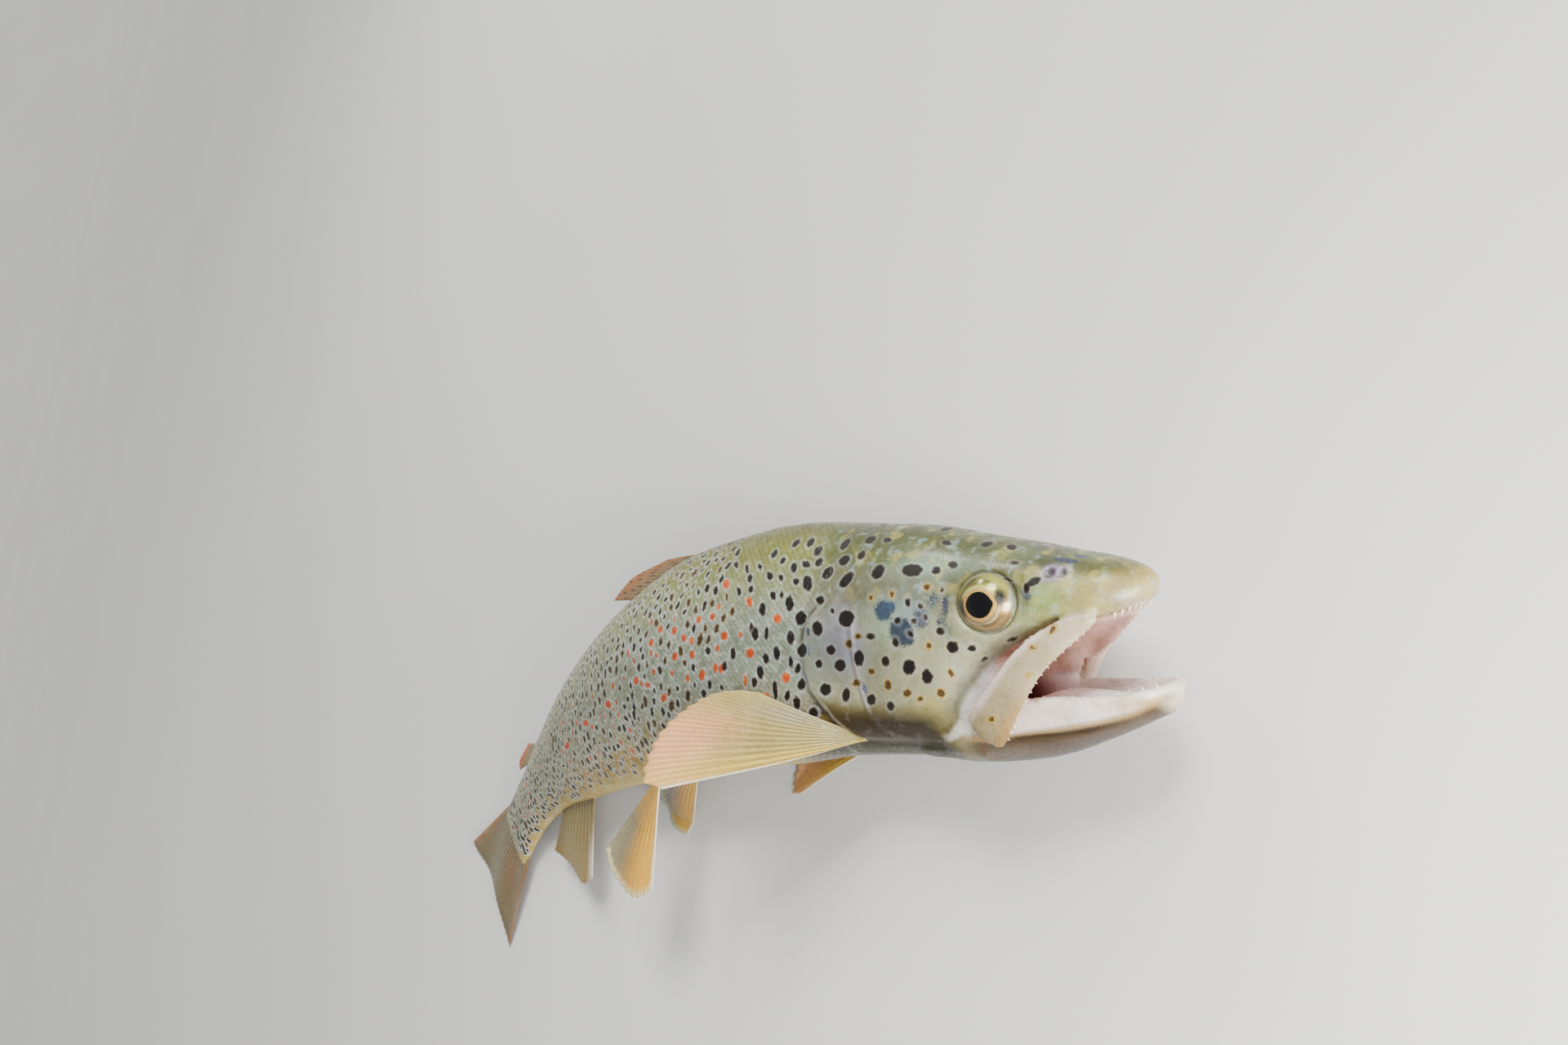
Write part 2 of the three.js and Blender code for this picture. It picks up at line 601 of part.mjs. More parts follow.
function caudalFin() {
  const surface = (u, v) => {
    const across = 2 * v - 1;
    const fork = CAUDAL.forkDepth * (1 - across ** 2);
    const from = STANDARD_LENGTH + GAP;
    const reach = TOTAL_LENGTH - fork - 2.5 * across ** 6 - from;
    const spread = THREE.MathUtils.lerp(CAUDAL.rootHalf, CAUDAL.tipHalf, u ** 0.9);
    const placed = pose(from + reach * u, across * spread, 0);
    placed.z = Math.max(placed.z, FLOOR_CLEARANCE);
    return placed;
  };
  const thicknessAt = (u, v) => {
    const across = 2 * v - 1;
    const rootThickness = THREE.MathUtils.lerp(CAUDAL.rootThickness, CAUDAL.edgeThickness, across ** 2);
    return THREE.MathUtils.lerp(rootThickness, CAUDAL.edgeThickness, Math.min(1, u * 1.6));
  };
  return slab(surface, thicknessAt, 8, 14);
}

// ------------------------------------------------------------------------------------------
// Materials and the finished group
// ------------------------------------------------------------------------------------------
const LOOKS = {
  back: { color: 0x8d9068, roughness: 0.32 },
  flank: { color: 0xa9ad94, roughness: 0.3 },
  throat: { color: 0xb9b3a2, roughness: 0.35 },
  jaw: { color: 0xc9a878, roughness: 0.35 },
  maxilla: { color: 0xbfa873, roughness: 0.35 },
  tongue: { color: 0xe3b3a6, roughness: 0.3 },
  eye: { color: 0x2a2013, roughness: 0.08 },
  fin: { color: 0xb9a35a, roughness: 0.4 },
  adipose: { color: 0xc46a3a, roughness: 0.4 },
};

const model = new THREE.Group();

function add(name, look, body) {
  const resting = body.subtract(floorBlock);
  const mesh = resting.getMesh();
  const geometry = new THREE.BufferGeometry();
  geometry.setAttribute('position', new THREE.Float32BufferAttribute(mesh.vertProperties, mesh.numProp));
  geometry.setIndex(Array.from(mesh.triVerts));
  geometry.computeVertexNormals();
  const part = new THREE.Mesh(geometry, new THREE.MeshStandardMaterial({ ...LOOKS[look], metalness: 0 }));
  part.name = name;
  model.add(part);
}

add('head', 'back', head());
add('lower_jaw', 'jaw', lowerJaw());
add('tongue', 'tongue', tongue());
add('throat', 'throat', throat());
for (const [name, side] of Object.entries(sides)) {
  add(`maxilla_${name}`, 'maxilla', maxilla(side, 0));
  add(`gill_cover_${name}`, 'flank', gillCover(side));
  add(`eye_${name}`, 'eye', eyeball(side, 0));
}
add('trunk_front', 'flank', trunkFront());
add('trunk_rear', 'flank', trunkRear());
add('tail', 'flank', tail());
add('caudal_fin', 'fin', caudalFin());

const bodyRoom = bodyLoft(HEAD_END, STANDARD_LENGTH, 9, GAP);
const finRoom = [bodyRoom, throat(), gillCoverRoom(1), gillCoverRoom(-1)];
for (const [name, shape] of Object.entries(FINS)) {
  add(name, name === 'adipose_fin' ? 'adipose' : 'fin', without(fin(shape), finRoom));
}

// The origin lies on the ground under the middle of the fish.
const box = new THREE.Box3().setFromObject(model);
const middle = box.getCenter(new THREE.Vector3());
model.position.set(-middle.x, -middle.y, 0);

export default model;
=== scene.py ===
"""Looks of the brown trout: one skin, its scales, fins, eyes, tongue and teeth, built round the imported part.

Shapes are described on a straight fish in millimetres, as s behind the snout tip, y towards the back and w
towards the right flank. pose() lays them along the bent spine in the part's own frame, in metres.
"""

import math

import bpy
import numpy as np
from mathutils import Matrix, Vector
from mathutils.bvhtree import BVHTree


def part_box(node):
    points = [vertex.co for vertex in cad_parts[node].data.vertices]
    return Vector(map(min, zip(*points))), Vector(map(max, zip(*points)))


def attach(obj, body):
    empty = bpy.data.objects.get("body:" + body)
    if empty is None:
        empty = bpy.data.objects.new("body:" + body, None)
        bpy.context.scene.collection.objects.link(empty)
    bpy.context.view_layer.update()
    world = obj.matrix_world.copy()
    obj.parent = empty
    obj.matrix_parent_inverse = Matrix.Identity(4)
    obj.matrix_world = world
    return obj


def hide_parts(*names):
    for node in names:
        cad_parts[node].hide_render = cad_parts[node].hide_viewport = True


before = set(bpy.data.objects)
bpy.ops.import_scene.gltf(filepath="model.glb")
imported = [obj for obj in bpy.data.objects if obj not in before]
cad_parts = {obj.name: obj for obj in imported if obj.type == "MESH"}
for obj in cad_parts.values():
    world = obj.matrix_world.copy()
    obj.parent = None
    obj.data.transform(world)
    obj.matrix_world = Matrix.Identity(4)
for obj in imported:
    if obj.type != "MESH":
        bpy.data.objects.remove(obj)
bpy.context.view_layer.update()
rng = np.random.default_rng(11)

# ------------------------------------------------------------------------------------------
# Sizes of the straight fish, in millimetres
# ------------------------------------------------------------------------------------------
MM = 0.001
STANDARD_LENGTH = 341
TOTAL_LENGTH = 385
HEAD_TURN, TAIL_TURN, BEND_START, BEND_END, BEND_POWER = 6.8, 53.6, 60, 350, 1.53
HEAD_ROLL, ROLL_END, ROLL_LENGTH = 14, 150, 90
FLOOR_CLEARANCE = 0.5

TOP = [(0.4, 7.6), (1.5, 9.8), (5, 11.9), (9.5, 13.6), (18, 15.9), (27.5, 18.7), (42, 22.5), (54, 25.9),
       (84, 31.6), (122, 36.6), (158, 37.8), (192, 34.1), (228, 29.1), (258, 24.6), (290, 19.2),
       (318, 15.4), (341, 15.6)]
BELLY = [(52, -35.1), (72, -35.3), (95, -35.8), (122, -37.9), (158, -38.8), (192, -36.8), (228, -32.4),
         (258, -27.5), (290, -19.2), (318, -15), (341, -15.4)]
HALF_WIDTH = [(0.4, 2.2), (1.5, 4.6), (5, 8), (12, 11.6), (24, 14), (36, 15.8), (60, 19.5), (84, 21),
              (122, 22), (158, 22), (192, 20.5), (228, 17), (258, 13.6), (290, 9.4), (318, 6.1), (341, 3.2)]
SPINE_HEIGHT = [(0, 24.4), (35, 24.6), (60, 23.5), (84, 22.1), (122, 21.9), (158, 21.8), (192, 20.4),
                (228, 17.3), (258, 13.9), (290, 10), (318, 7), (341, 4.4), (385, 1.2)]
PALATE = [(0.4, 4.8), (1.5, 3.6), (4, 1.8), (10, -0.3), (20, -2), (27, -3.7), (35, -7.2), (41, -12.2),
          (46, -17.6), (50, -23.4), (55, -27), (95, -27.6)]
MOUTH_ROOF = [(3, 1.8), (10, 3), (22, 2.6), (34, -1.5), (44, -9), (52, -18), (58, -24)]
MOUTH_ROOF_WIDTH = [(3, 1.2), (6, 4), (12, 7.6), (24, 10.2), (40, 11.6), (52, 11), (58, 8)]
JAW_RIM = [(-1.9, -16.2), (-0.8, -14.9), (3, -15), (8.5, -15.9), (16, -15.9), (25, -15.8), (35, -18.4),
           (45, -23), (51.5, -26.4), (62, -29)]
JAW_BOTTOM = [(-1.9, -18.6), (0.2, -21.7), (4.4, -23.7), (11.1, -26.6), (17.8, -29.2), (25, -31.8),
              (34, -33.8), (46, -35), (51.5, -35.1), (62, -34.6)]
JAW_HALF_WIDTH = [(-1.9, 1.6), (-0.7, 4.4), (3, 8.2), (9, 10.6), (16, 12.2), (26, 13.2), (40, 13.8),
                  (50, 13.6), (62, 9)]
MOUTH_FLOOR = [(2.4, -17.6), (8, -20.2), (20, -22.4), (34, -24.6), (50, -27.6)]
JAW_WALL = 2.6
JAW_RIM_ROUNDING = 1.3
MAXILLA_LINE = [(10, 1.2, 11.6), (16.5, -1.8, 13.9), (25, -7.6, 15.9), (32, -15.4, 17), (37.1, -21.7, 17.2),
                (40.2, -25.1, 16.8)]
MAXILLA_HALF_BREADTH = [(0, 1.4), (0.15, 2.9), (0.4, 4.2), (0.65, 5.2), (0.85, 5.9), (0.95, 5.1), (1, 3.2)]
MAXILLA_THICKNESS = 2.8
GILL_COVER_REAR = [(-29, 84), (-27, 88), (-20, 93.5), (-12, 96.5), (-3.4, 95.5), (3.4, 93.5), (10, 86.5),
                   (13, 82)]
EYE = {"s": 35.4, "y": 6.1, "w": 12.2, "radius": 7.5, "depth": 5.8, "forward": 13, "up": 9}


def profile(stations):
    """Smooth curve through (position, value) stations that keeps between neighbouring values."""
    at, value = np.array(stations, float).T
    secant = np.diff(value) / np.diff(at)
    before, after = secant[:-1], secant[1:]
    total = np.where(before + after == 0, 1, before + after)
    inner = np.where(before * after > 0, 2 * before * after / total, 0)
    slope = np.concatenate([secant[:1], inner, secant[-1:]])

    def curve(x):
        x = np.clip(np.asarray(x, float), at[0], at[-1])
        i = np.clip(np.searchsorted(at, x, side="right") - 1, 0, len(at) - 2)
        span = at[i + 1] - at[i]
        t = (x - at[i]) / span
        ease = 3 * t**2 - 2 * t**3
        bend = (t**3 - 2 * t**2 + t) * slope[i] + (t**3 - t**2) * slope[i + 1]
        return (1 - ease) * value[i] + ease * value[i + 1] + span * bend

    return curve


top_at, belly_at, half_width_at = profile(TOP), profile(BELLY), profile(HALF_WIDTH)
spine_height_at, palate_at, roof_at = profile(SPINE_HEIGHT), profile(PALATE), profile(MOUTH_ROOF)
roof_width_at, rim_at, jaw_bottom_at = profile(MOUTH_ROOF_WIDTH), profile(JAW_RIM), profile(JAW_BOTTOM)
jaw_half_width_at, mouth_floor_at = profile(JAW_HALF_WIDTH), profile(MOUTH_FLOOR)
cover_rear_at, breadth_at = profile(GILL_COVER_REAR), profile(MAXILLA_HALF_BREADTH)
maxilla_s, maxilla_y, maxilla_w = (
    profile([(i / (len(MAXILLA_LINE) - 1), p[axis]) for i, p in enumerate(MAXILLA_LINE)])
    for axis in range(3))


def smooth(low, high, x):
    """0 below low, 1 above high, an even S-curve between."""
    t = np.clip((np.asarray(x, float) - low) / (high - low), 0, 1)
    return t * t * (3 - 2 * t)


def height_at(s, y):
    """1 at the back, -1 at the belly, whatever the depth of the body at s."""
    return np.where(y > 0, y / top_at(s), -y / belly_at(s))


def bump(centre, reach, x):
    """1 at the centre, falling smoothly to 0 at reach on both sides."""
    return 1 - smooth(0, reach, np.abs(np.asarray(x, float) - centre))


def bell(x):
    """1 at 0, falling off evenly to both sides."""
    return np.exp(-x**2)


# ------------------------------------------------------------------------------------------
# The bent spine
# ------------------------------------------------------------------------------------------
def spine_turn(s):
    """Heading of the spine seen from above, in radians."""
    along = np.clip((s - BEND_START) / (BEND_END - BEND_START), 0, 1)
    return np.radians(HEAD_TURN + (TAIL_TURN - HEAD_TURN) * along**BEND_POWER)


def spine_slope(s):
    return spine_height_at(s + 0.5) - spine_height_at(s - 0.5)


SPINE_STEP = 0.5
SPINE_S = np.arange(-10, 410.01, SPINE_STEP)
_middle = SPINE_S[:-1] + SPINE_STEP / 2
_flat = np.sqrt(1 - spine_slope(_middle) ** 2) * SPINE_STEP
_ahead = np.stack([np.cos(spine_turn(_middle)), np.sin(spine_turn(_middle))], 1)
SPINE_XY = np.vstack([np.zeros((1, 2)), np.cumsum(-_flat[:, None] * _ahead, axis=0)])
shift = np.zeros(2)


def pose(p):
    """Straight-fish millimetres to metres in the part's frame."""
    s, y, w = p[:, 0], p[:, 1], p[:, 2]
    on = np.stack([np.interp(s, SPINE_S, SPINE_XY[:, i]) for i in (0, 1)], 1)
    turn, slope = spine_turn(s), spine_slope(s)
    flat = np.sqrt(1 - slope**2)
    along = np.stack([np.cos(turn) * flat, np.sin(turn) * flat, -slope], 1)
    up = np.stack([-np.sin(turn), np.cos(turn), np.zeros_like(turn)], 1)
    side = np.cross(along, up)
    roll = np.radians(HEAD_ROLL) * smooth(0, 1, (ROLL_END - s) / ROLL_LENGTH)
    high = y * np.cos(roll) - w * np.sin(roll)
    out = y * np.sin(roll) + w * np.cos(roll)
    at = np.column_stack([on + shift, spine_height_at(s)]) + up * high[:, None] + side * out[:, None]
    return at * MM


def rest(p, lowest=0.15):
    """Nothing reaches through the ground: every point stays this many millimetres above it."""
    p[:, 2] = np.maximum(p[:, 2], lowest * MM)
    return p


def eye_frame(side):
    """Centre, then the axes ahead, up and outwards, of one eye on the straight fish."""
    out = np.array([-math.sin(math.radians(EYE["forward"])), math.sin(math.radians(EYE["up"])), side])
    out /= np.linalg.norm(out)
    ahead = np.array([-1.0, 0, 0]) + out * out[0]
    ahead /= np.linalg.norm(ahead)
    up = np.array([0.0, 1, 0]) - out * out[1]
    up -= ahead * (up @ ahead)
    up /= np.linalg.norm(up)
    return np.array([EYE["s"], EYE["y"], side * EYE["w"]]), ahead, up, out


BALL_POINTS, BALL_WINDS = 4000, 89


def ball(side):
    """Points all over one eyeball, along a winding line from pole to pole."""
    centre, ahead, up, out = eye_frame(side)
    turn = np.linspace(0, 2 * np.pi * BALL_WINDS, BALL_POINTS)
    lean = np.linspace(0, np.pi, BALL_POINTS)
    reach = EYE["radius"] * np.sin(lean)
    return (centre + ahead * (reach * np.cos(turn))[:, None] + up * (reach * np.sin(turn))[:, None]
            + out * (EYE["depth"] * np.cos(lean))[:, None])


# The straight fish is laid so that its right eye is where the part's right eye is.
low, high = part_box("eye_right")
posed_ball = pose(ball(1))
shift[:] = [1000 * ((low + high) / 2)[i] - 500 * (posed_ball[:, i].min() + posed_ball[:, i].max())
            for i in (0, 1)]


# ------------------------------------------------------------------------------------------
# Meshes from rows of points
# ------------------------------------------------------------------------------------------
def grid_faces(rows, columns, wrap=False):
    """Quads between the points of a grid, closed round the rows when wrap is set."""
    i, j = np.meshgrid(np.arange(rows - 1), np.arange(columns if wrap else columns - 1), indexing="ij")
    k = (j + 1) % columns
    faces = np.stack([i * columns + j, i * columns + k, (i + 1) * columns + k, (i + 1) * columns + j], -1)
    return faces.reshape(-1, 4)


def grid_border(rows, columns):
    """Numbers of the points round the border of a grid, in order."""
    return ([j for j in range(columns)] + [i * columns + columns - 1 for i in range(1, rows)]
            + [(rows - 1) * columns + j for j in range(columns - 2, -1, -1)]
            + [i * columns for i in range(rows - 2, 0, -1)])


def closed_loft(rings):
    """Points and faces of a closed body from an array of rings (rows, columns, 3)."""
    rows, columns = rings.shape[:2]
    points = rings.reshape(-1, 3)
    ends = np.array([rings[0].mean(0), rings[-1].mean(0)])
    j = np.arange(columns)
    k = (j + 1) % columns
    front = np.stack([np.full(columns, rows * columns), k, j], 1)
    last = (rows - 1) * columns
    back = np.stack([np.full(columns, rows * columns + 1), last + j, last + k], 1)
    faces = [tuple(f) for f in grid_faces(rows, columns, wrap=True)]
    faces += [tuple(f) for f in front] + [tuple(f) for f in back]
    return np.vstack([points, ends]), faces


def joined(bodies):
    """Several bodies of points and faces as one."""
    points, faces, start = [], [], 0
    for p, f in bodies:
        points.append(p)
        faces += [tuple(int(v) + start for v in face) for face in f]
        start += len(p)
    return np.vstack(points), faces


def linked(name, data):
    """A new object of this data, in the scene."""
    made = bpy.data.objects.new(name, data)
    bpy.context.scene.collection.objects.link(made)
    return made


def new_object(name, points, faces):
    """A smooth-shaded mesh object of any faces."""
    mesh = bpy.data.meshes.new(name)
    mesh.from_pydata(np.asarray(points, float).tolist(), [], [tuple(map(int, f)) for f in faces])
    mesh.update()
    mesh.shade_smooth()
    return linked(name, mesh)


def quad_object(name, points, quads):
    """A large mesh of quads only, filled by arrays."""
    mesh = bpy.data.meshes.new(name)
    quads = np.asarray(quads, np.int32)
    mesh.vertices.add(len(points))
    mesh.vertices.foreach_set("co", np.asarray(points, np.float32).ravel())
    mesh.loops.add(quads.size)
    mesh.loops.foreach_set("vertex_index", quads.ravel())
    mesh.polygons.add(len(quads))
    mesh.polygons.foreach_set("loop_start", np.arange(0, quads.size, 4, dtype=np.int32))
    mesh.update(calc_edges=True)
    mesh.shade_smooth()
    return linked(name, mesh)


def add_layer(made, name, kind, field, values):
    """An attribute with one value for each point."""
    layer = made.data.attributes.new(name, kind, "POINT")
    layer.data.foreach_set(field, np.asarray(values, np.float32).ravel())


def add_value(made, name, values):
    add_layer(made, name, "FLOAT", "value", values)


def add_vector(made, name, values):
    add_layer(made, name, "FLOAT_VECTOR", "vector", values)


def add_colour(made, name, values):
    rgba = np.concatenate([np.clip(values, 0, 1), np.ones((len(values), 1))], 1)
    add_layer(made, name, "FLOAT_COLOR", "color", rgba)


def read_vectors(rows, field):
    """A vector field of the rows as an array of triples."""
    out = np.empty(len(rows) * 3, np.float32)
    rows.foreach_get(field, out)
    return out.reshape(-1, 3).astype(float)


def set_points(mesh, points):
    """Move a mesh's points to these places."""
    mesh.vertices.foreach_set("co", points.astype(np.float32).ravel())
    mesh.update()


# ------------------------------------------------------------------------------------------
# Bodies of the straight fish that the skin is drawn round
# ------------------------------------------------------------------------------------------
SCALE_DEPTH = 0.55  # how far the skin lies inside the part, to leave room for the scales
TRUNK_START, FINE_STATIONS_END = 56, 130
TRUNK_RING = 128
# Past the body's end the skin narrows on inside the tail fin: distance, share of the width.
TAIL_TAPER = [(1.2, 0.9), (2.4, 0.76), (3.8, 0.6), (5.2, 0.46)]
SKULL_END = 86
MOUTH_END = 58
JAW_END = 62


def oval(s, top, bottom, half, level, low=2.0, count=96):
    """A ring across the fish, rounder or squarer below its level by the power low."""
    turn = 2 * np.pi * (np.arange(count) + 0.5) / count
    power = np.where(np.sin(turn) < 0, 2 / low, 1)
    up = np.sign(np.sin(turn)) * np.abs(np.sin(turn)) ** power
    out = np.sign(np.cos(turn)) * np.abs(np.cos(turn)) ** power
    y = level + np.where(up > 0, up * (top - level), up * (level - bottom))
    return np.stack([np.full(count, float(s)), y, out * half], 1)


def sink_behind_cover(s, y):
    """The flank is pinched in under and just behind the gill cover."""
    behind = s - cover_rear_at(y)
    band = smooth(-32, -28, y) * (1 - smooth(8, 14, y))
    return band * np.exp(-np.maximum(behind, 0) / 5)


def flank_point(s, turn):
    """The skin's own surface behind the head, at an angle round the body."""
    up, out = np.sin(turn), np.cos(turn)
    y = up * np.where(up > 0, top_at(s), -belly_at(s))
    inset = SCALE_DEPTH + sink_behind_cover(s, y)
    y = up * np.where(up > 0, top_at(s) - inset, -belly_at(s) - inset)
    return np.stack([s, y, out * (half_width_at(s) - inset)], -1)


def trunk():
    """The body from behind the gill covers to just past the root of the tail fin."""
    turn = 2 * np.pi * (np.arange(TRUNK_RING) + 0.5) / TRUNK_RING
    stations = np.concatenate([np.arange(TRUNK_START, FINE_STATIONS_END, 1.5),
                               np.arange(FINE_STATIONS_END, STANDARD_LENGTH - 1, 3), [STANDARD_LENGTH]])
    rings = [flank_point(np.full(TRUNK_RING, s), turn) for s in stations]
    last = rings[-1]
    for further, share in TAIL_TAPER:
        s = np.full(TRUNK_RING, STANDARD_LENGTH + further)
        rings.append(np.stack([s, last[:, 1], last[:, 2] * share], 1))
    return closed_loft(np.array(rings))


def head_level(s):
    """Height of the widest part of the head's section, above the roof of the mouth."""
    bottom, top = float(palate_at(s)), float(top_at(s))
    level = bottom + (top - bottom) * 0.38
    level -= level * float(smooth(26, 60, s))
    return max(level, bottom + 3)


def head_top():
    """The skull with the arched roof of the mouth under it."""
    stations = np.concatenate([[0.4, 0.7, 1.1, 1.7, 2.4, 3.2], np.arange(4, SKULL_END, 1.0)])
    rings = []
    for s in stations:
        inset = 0.15 + 1.35 * float(smooth(62, SKULL_END, s))
        bottom = float(palate_at(s))
        top = float(top_at(s)) - inset
        level = head_level(s)
        ring = oval(s, top, bottom, float(half_width_at(s)) - inset, level, low=3)
        if 3 < s < MOUTH_END:
            room = float(roof_width_at(s))
            under = (ring[:, 1] < level) & (np.abs(ring[:, 2]) < room)
            arch = np.sqrt(np.clip(1 - (ring[:, 2] / room) ** 2, 0, 1))
            ring[under, 1] = (bottom + (float(roof_at(s)) - bottom) * arch)[under]
        rings.append(ring)
    return closed_loft(np.array(rings))


def jaw():
    """The lower jaw, dished between its walls."""
    stations = np.concatenate([[-1.9, -1.5, -1.0, -0.4, 0.3], np.arange(1, JAW_END + 0.1, 1.0)])
    rings = []
    for s in stations:
        rim, bottom, half = float(rim_at(s)), float(jaw_bottom_at(s)), float(jaw_half_width_at(s))
        level = rim - JAW_RIM_ROUNDING
        ring = oval(s, rim, bottom, half, level)
        room = half - JAW_WALL
        if 2.4 < s < 55:
            floor = float(mouth_floor_at(s))
            inside = (ring[:, 1] > level - 0.01) & (np.abs(ring[:, 2]) < room)
            dish = np.clip(1 - (ring[:, 2] / room) ** 2, 0, 1) ** 0.4
            edge = ring[inside, 1]
            ring[inside, 1] = edge + (floor - edge) * dish[inside]
        rings.append(ring)
    return closed_loft(np.array(rings))


def throat():
    """The floor of the throat between the gill covers."""
    return closed_loft(np.array([oval(s, -28.2, float(belly_at(s)) + 0.5, 12.2 - 0.06 * (s - 44), -29.5)
                                 for s in np.arange(44, 67, 1.5)]))


def maxilla(side):
    """The blade that hangs beside the mouth."""
    t = np.linspace(0, 1, 40)
    line = np.stack([maxilla_s(t), maxilla_y(t), side * maxilla_w(t)], 1)
    ahead = np.gradient(line, axis=0)
    ahead /= np.linalg.norm(ahead, axis=1)[:, None]
    across = np.stack([-ahead[:, 1], ahead[:, 0], np.zeros(len(t))], 1)
    across /= np.linalg.norm(across, axis=1)[:, None]
    turn = 2 * np.pi * np.arange(28) / 28
    ring = (line[:, None] + across[:, None] * (breadth_at(t)[:, None] * np.cos(turn))[..., None]
            + np.array([0, 0, 1.0]) * (MAXILLA_THICKNESS / 2 * np.sin(turn))[None, :, None])
    return closed_loft(ring)


def gill_cover(side):
    """A plate along the flank with a free rear edge."""
    rows, columns = 60, 44
    y = np.linspace(-28.4, 13, rows)[:, None] * np.ones((1, columns))
    rear = cover_rear_at(y)
    v = np.linspace(0, 1, columns)[None, :]
    s = TRUNK_START + (rear - TRUNK_START) * v
    edge = np.sqrt(np.clip(1 - smooth(0.955, 1, v) ** 2, 0, 1))
    fade = smooth(7, 13, y)
    sheets = []
    for inset in (0.18 + 1.3 * fade + (1 - edge) * 0.9, 2.8 - (1 - edge) * 0.9):
        reach = np.where(y > 0, top_at(s), -belly_at(s))
        w = half_width_at(s) * np.sqrt(np.clip(1 - (y / reach) ** 2, 0, 1)) - inset
        sheets.append(np.stack([s, y, side * w], -1).reshape(-1, 3))
    outer = grid_faces(rows, columns)
    inner = outer[:, ::-1] + rows * columns
    loop = grid_border(rows, columns)
    rim = [(a, b, b + rows * columns, a + rows * columns) for a, b in zip(loop, loop[1:] + loop[:1])]
    faces = [tuple(f) for f in outer] + [tuple(f) for f in inner] + rim
    if side < 0:
        faces = [f[::-1] for f in faces]
    return np.vstack(sheets), faces


CHEEK_HALF_THICKNESS = 0.7


def cheek_wall(side):
    """The thin wall of the cheek that closes the gape behind and under the maxilla."""
    blade_y = profile([(p[0], p[1]) for p in MAXILLA_LINE])
    blade_w = profile([(p[0], p[2]) for p in MAXILLA_LINE])
    rings = []
    for s in np.arange(13, 57, 0.8):
        rear = float(smooth(26.5, 31.5, s))
        bottom = float(palate_at(s))
        upper = np.array([bottom + 0.2 * (head_level(s) - bottom), 0.62 * float(half_width_at(s))])
        front = np.array([float(blade_y(s)), float(blade_w(s)) - 1.3])
        behind = np.array([float(rim_at(s)) - 1.4, float(jaw_half_width_at(s)) - 1.25])
        lower = front * (1 - rear) + behind * rear
        line = upper + (lower - upper) * np.linspace(0, 1, 12)[:, None]
        ring = np.vstack([line + [0, CHEEK_HALF_THICKNESS], (line - [0, CHEEK_HALF_THICKNESS])[::-1]])
        rings.append(np.stack([np.full(len(ring), s), ring[:, 0], side * ring[:, 1]], 1))
    points, faces = closed_loft(np.array(rings))
    return points, (faces if side < 0 else [f[::-1] for f in faces])


# The body behind the head is squeezed along s while it is remeshed, so that it takes fewer voxels.
VOXEL = 0.7
SQUEEZE_FROM, SQUEEZE = 96, 2.3


def squeeze(s):
    """Straight places to squeezed ones."""
    return np.where(s > SQUEEZE_FROM, SQUEEZE_FROM + (s - SQUEEZE_FROM) / SQUEEZE, s)


def stretch(s):
    """Squeezed places back to straight ones."""
    return np.where(s > SQUEEZE_FROM, SQUEEZE_FROM + (s - SQUEEZE_FROM) * SQUEEZE, s)


def make_skin():
    """One closed skin round all the bodies, still straight and squeezed."""
    pairs = [body(side) for body in (maxilla, gill_cover, cheek_wall) for side in (1, -1)]
    points, faces = joined([trunk(), head_top(), jaw(), throat()] + pairs)
    points[:, 0] = squeeze(points[:, 0])
    made = new_object("trout_skin", points, faces)
    remesh = made.modifiers.new("one_skin", "REMESH")
    remesh.mode = "VOXEL"
    remesh.voxel_size = VOXEL
    graph = bpy.context.evaluated_depsgraph_get()
    mesh = bpy.data.meshes.new_from_object(made.evaluated_get(graph))
    made.modifiers.clear()
    old = made.data
    made.data = mesh
    bpy.data.meshes.remove(old)
    made.data.name = "trout_skin"
    return made


def relax(mesh, points, steps, where=1.0):
    """Points moved half way to the mean of their neighbours, several times, as far as where allows."""
    edges = np.empty(len(mesh.edges) * 2, np.int32)
    mesh.edges.foreach_get("vertices", edges)
    a, b = edges.reshape(-1, 2).T
    degree = np.bincount(np.concatenate([a, b]), minlength=len(points))[:, None]
    for _ in range(steps):
        total = np.zeros_like(points)
        for axis in range(3):
            total[:, axis] = (np.bincount(a, points[b, axis], len(points))
                              + np.bincount(b, points[a, axis], len(points)))
        points = points + 0.5 * (total / np.maximum(degree, 1) - points) * where
    return points


skin = make_skin()
bare = relax(skin.data, read_vectors(skin.data.vertices, "co"), 3)
cheek_fold = bump(48, 11, bare[:, 0]) * (1 - smooth(-12, -8, bare[:, 1])) * smooth(8, 11, np.abs(bare[:, 2]))
bare = relax(skin.data, bare, 8, cheek_fold[:, None])
bare[:, 0] = stretch(bare[:, 0])


# ------------------------------------------------------------------------------------------
# Relief of the head
# ------------------------------------------------------------------------------------------
def line_distance(s, y, line):
    """Distance in the flat of the flank from a polyline of (s, y) points, and how far along it."""
    best = np.full(len(s), 1e9)
    along = np.zeros(len(s))
    line = np.asarray(line, float)
    for n, (a, b) in enumerate(zip(line[:-1], line[1:])):
        d = b - a
        t = np.clip(((s - a[0]) * d[0] + (y - a[1]) * d[1]) / (d @ d), 0, 1)
        gap = np.hypot(s - a[0] - t * d[0], y - a[1] - t * d[1])
        near = gap < best
        best = np.where(near, gap, best)
        along = np.where(near, (n + t) / (len(line) - 1), along)
    return best, along


def curve_points(stations, count=24):
    """A smooth polyline through a few (s, y) stations."""
    at = np.linspace(0, 1, len(stations))
    t = np.linspace(0, 1, count)
    return np.stack([profile(list(zip(at, [p[i] for p in stations])))(t) for i in (0, 1)], 1)


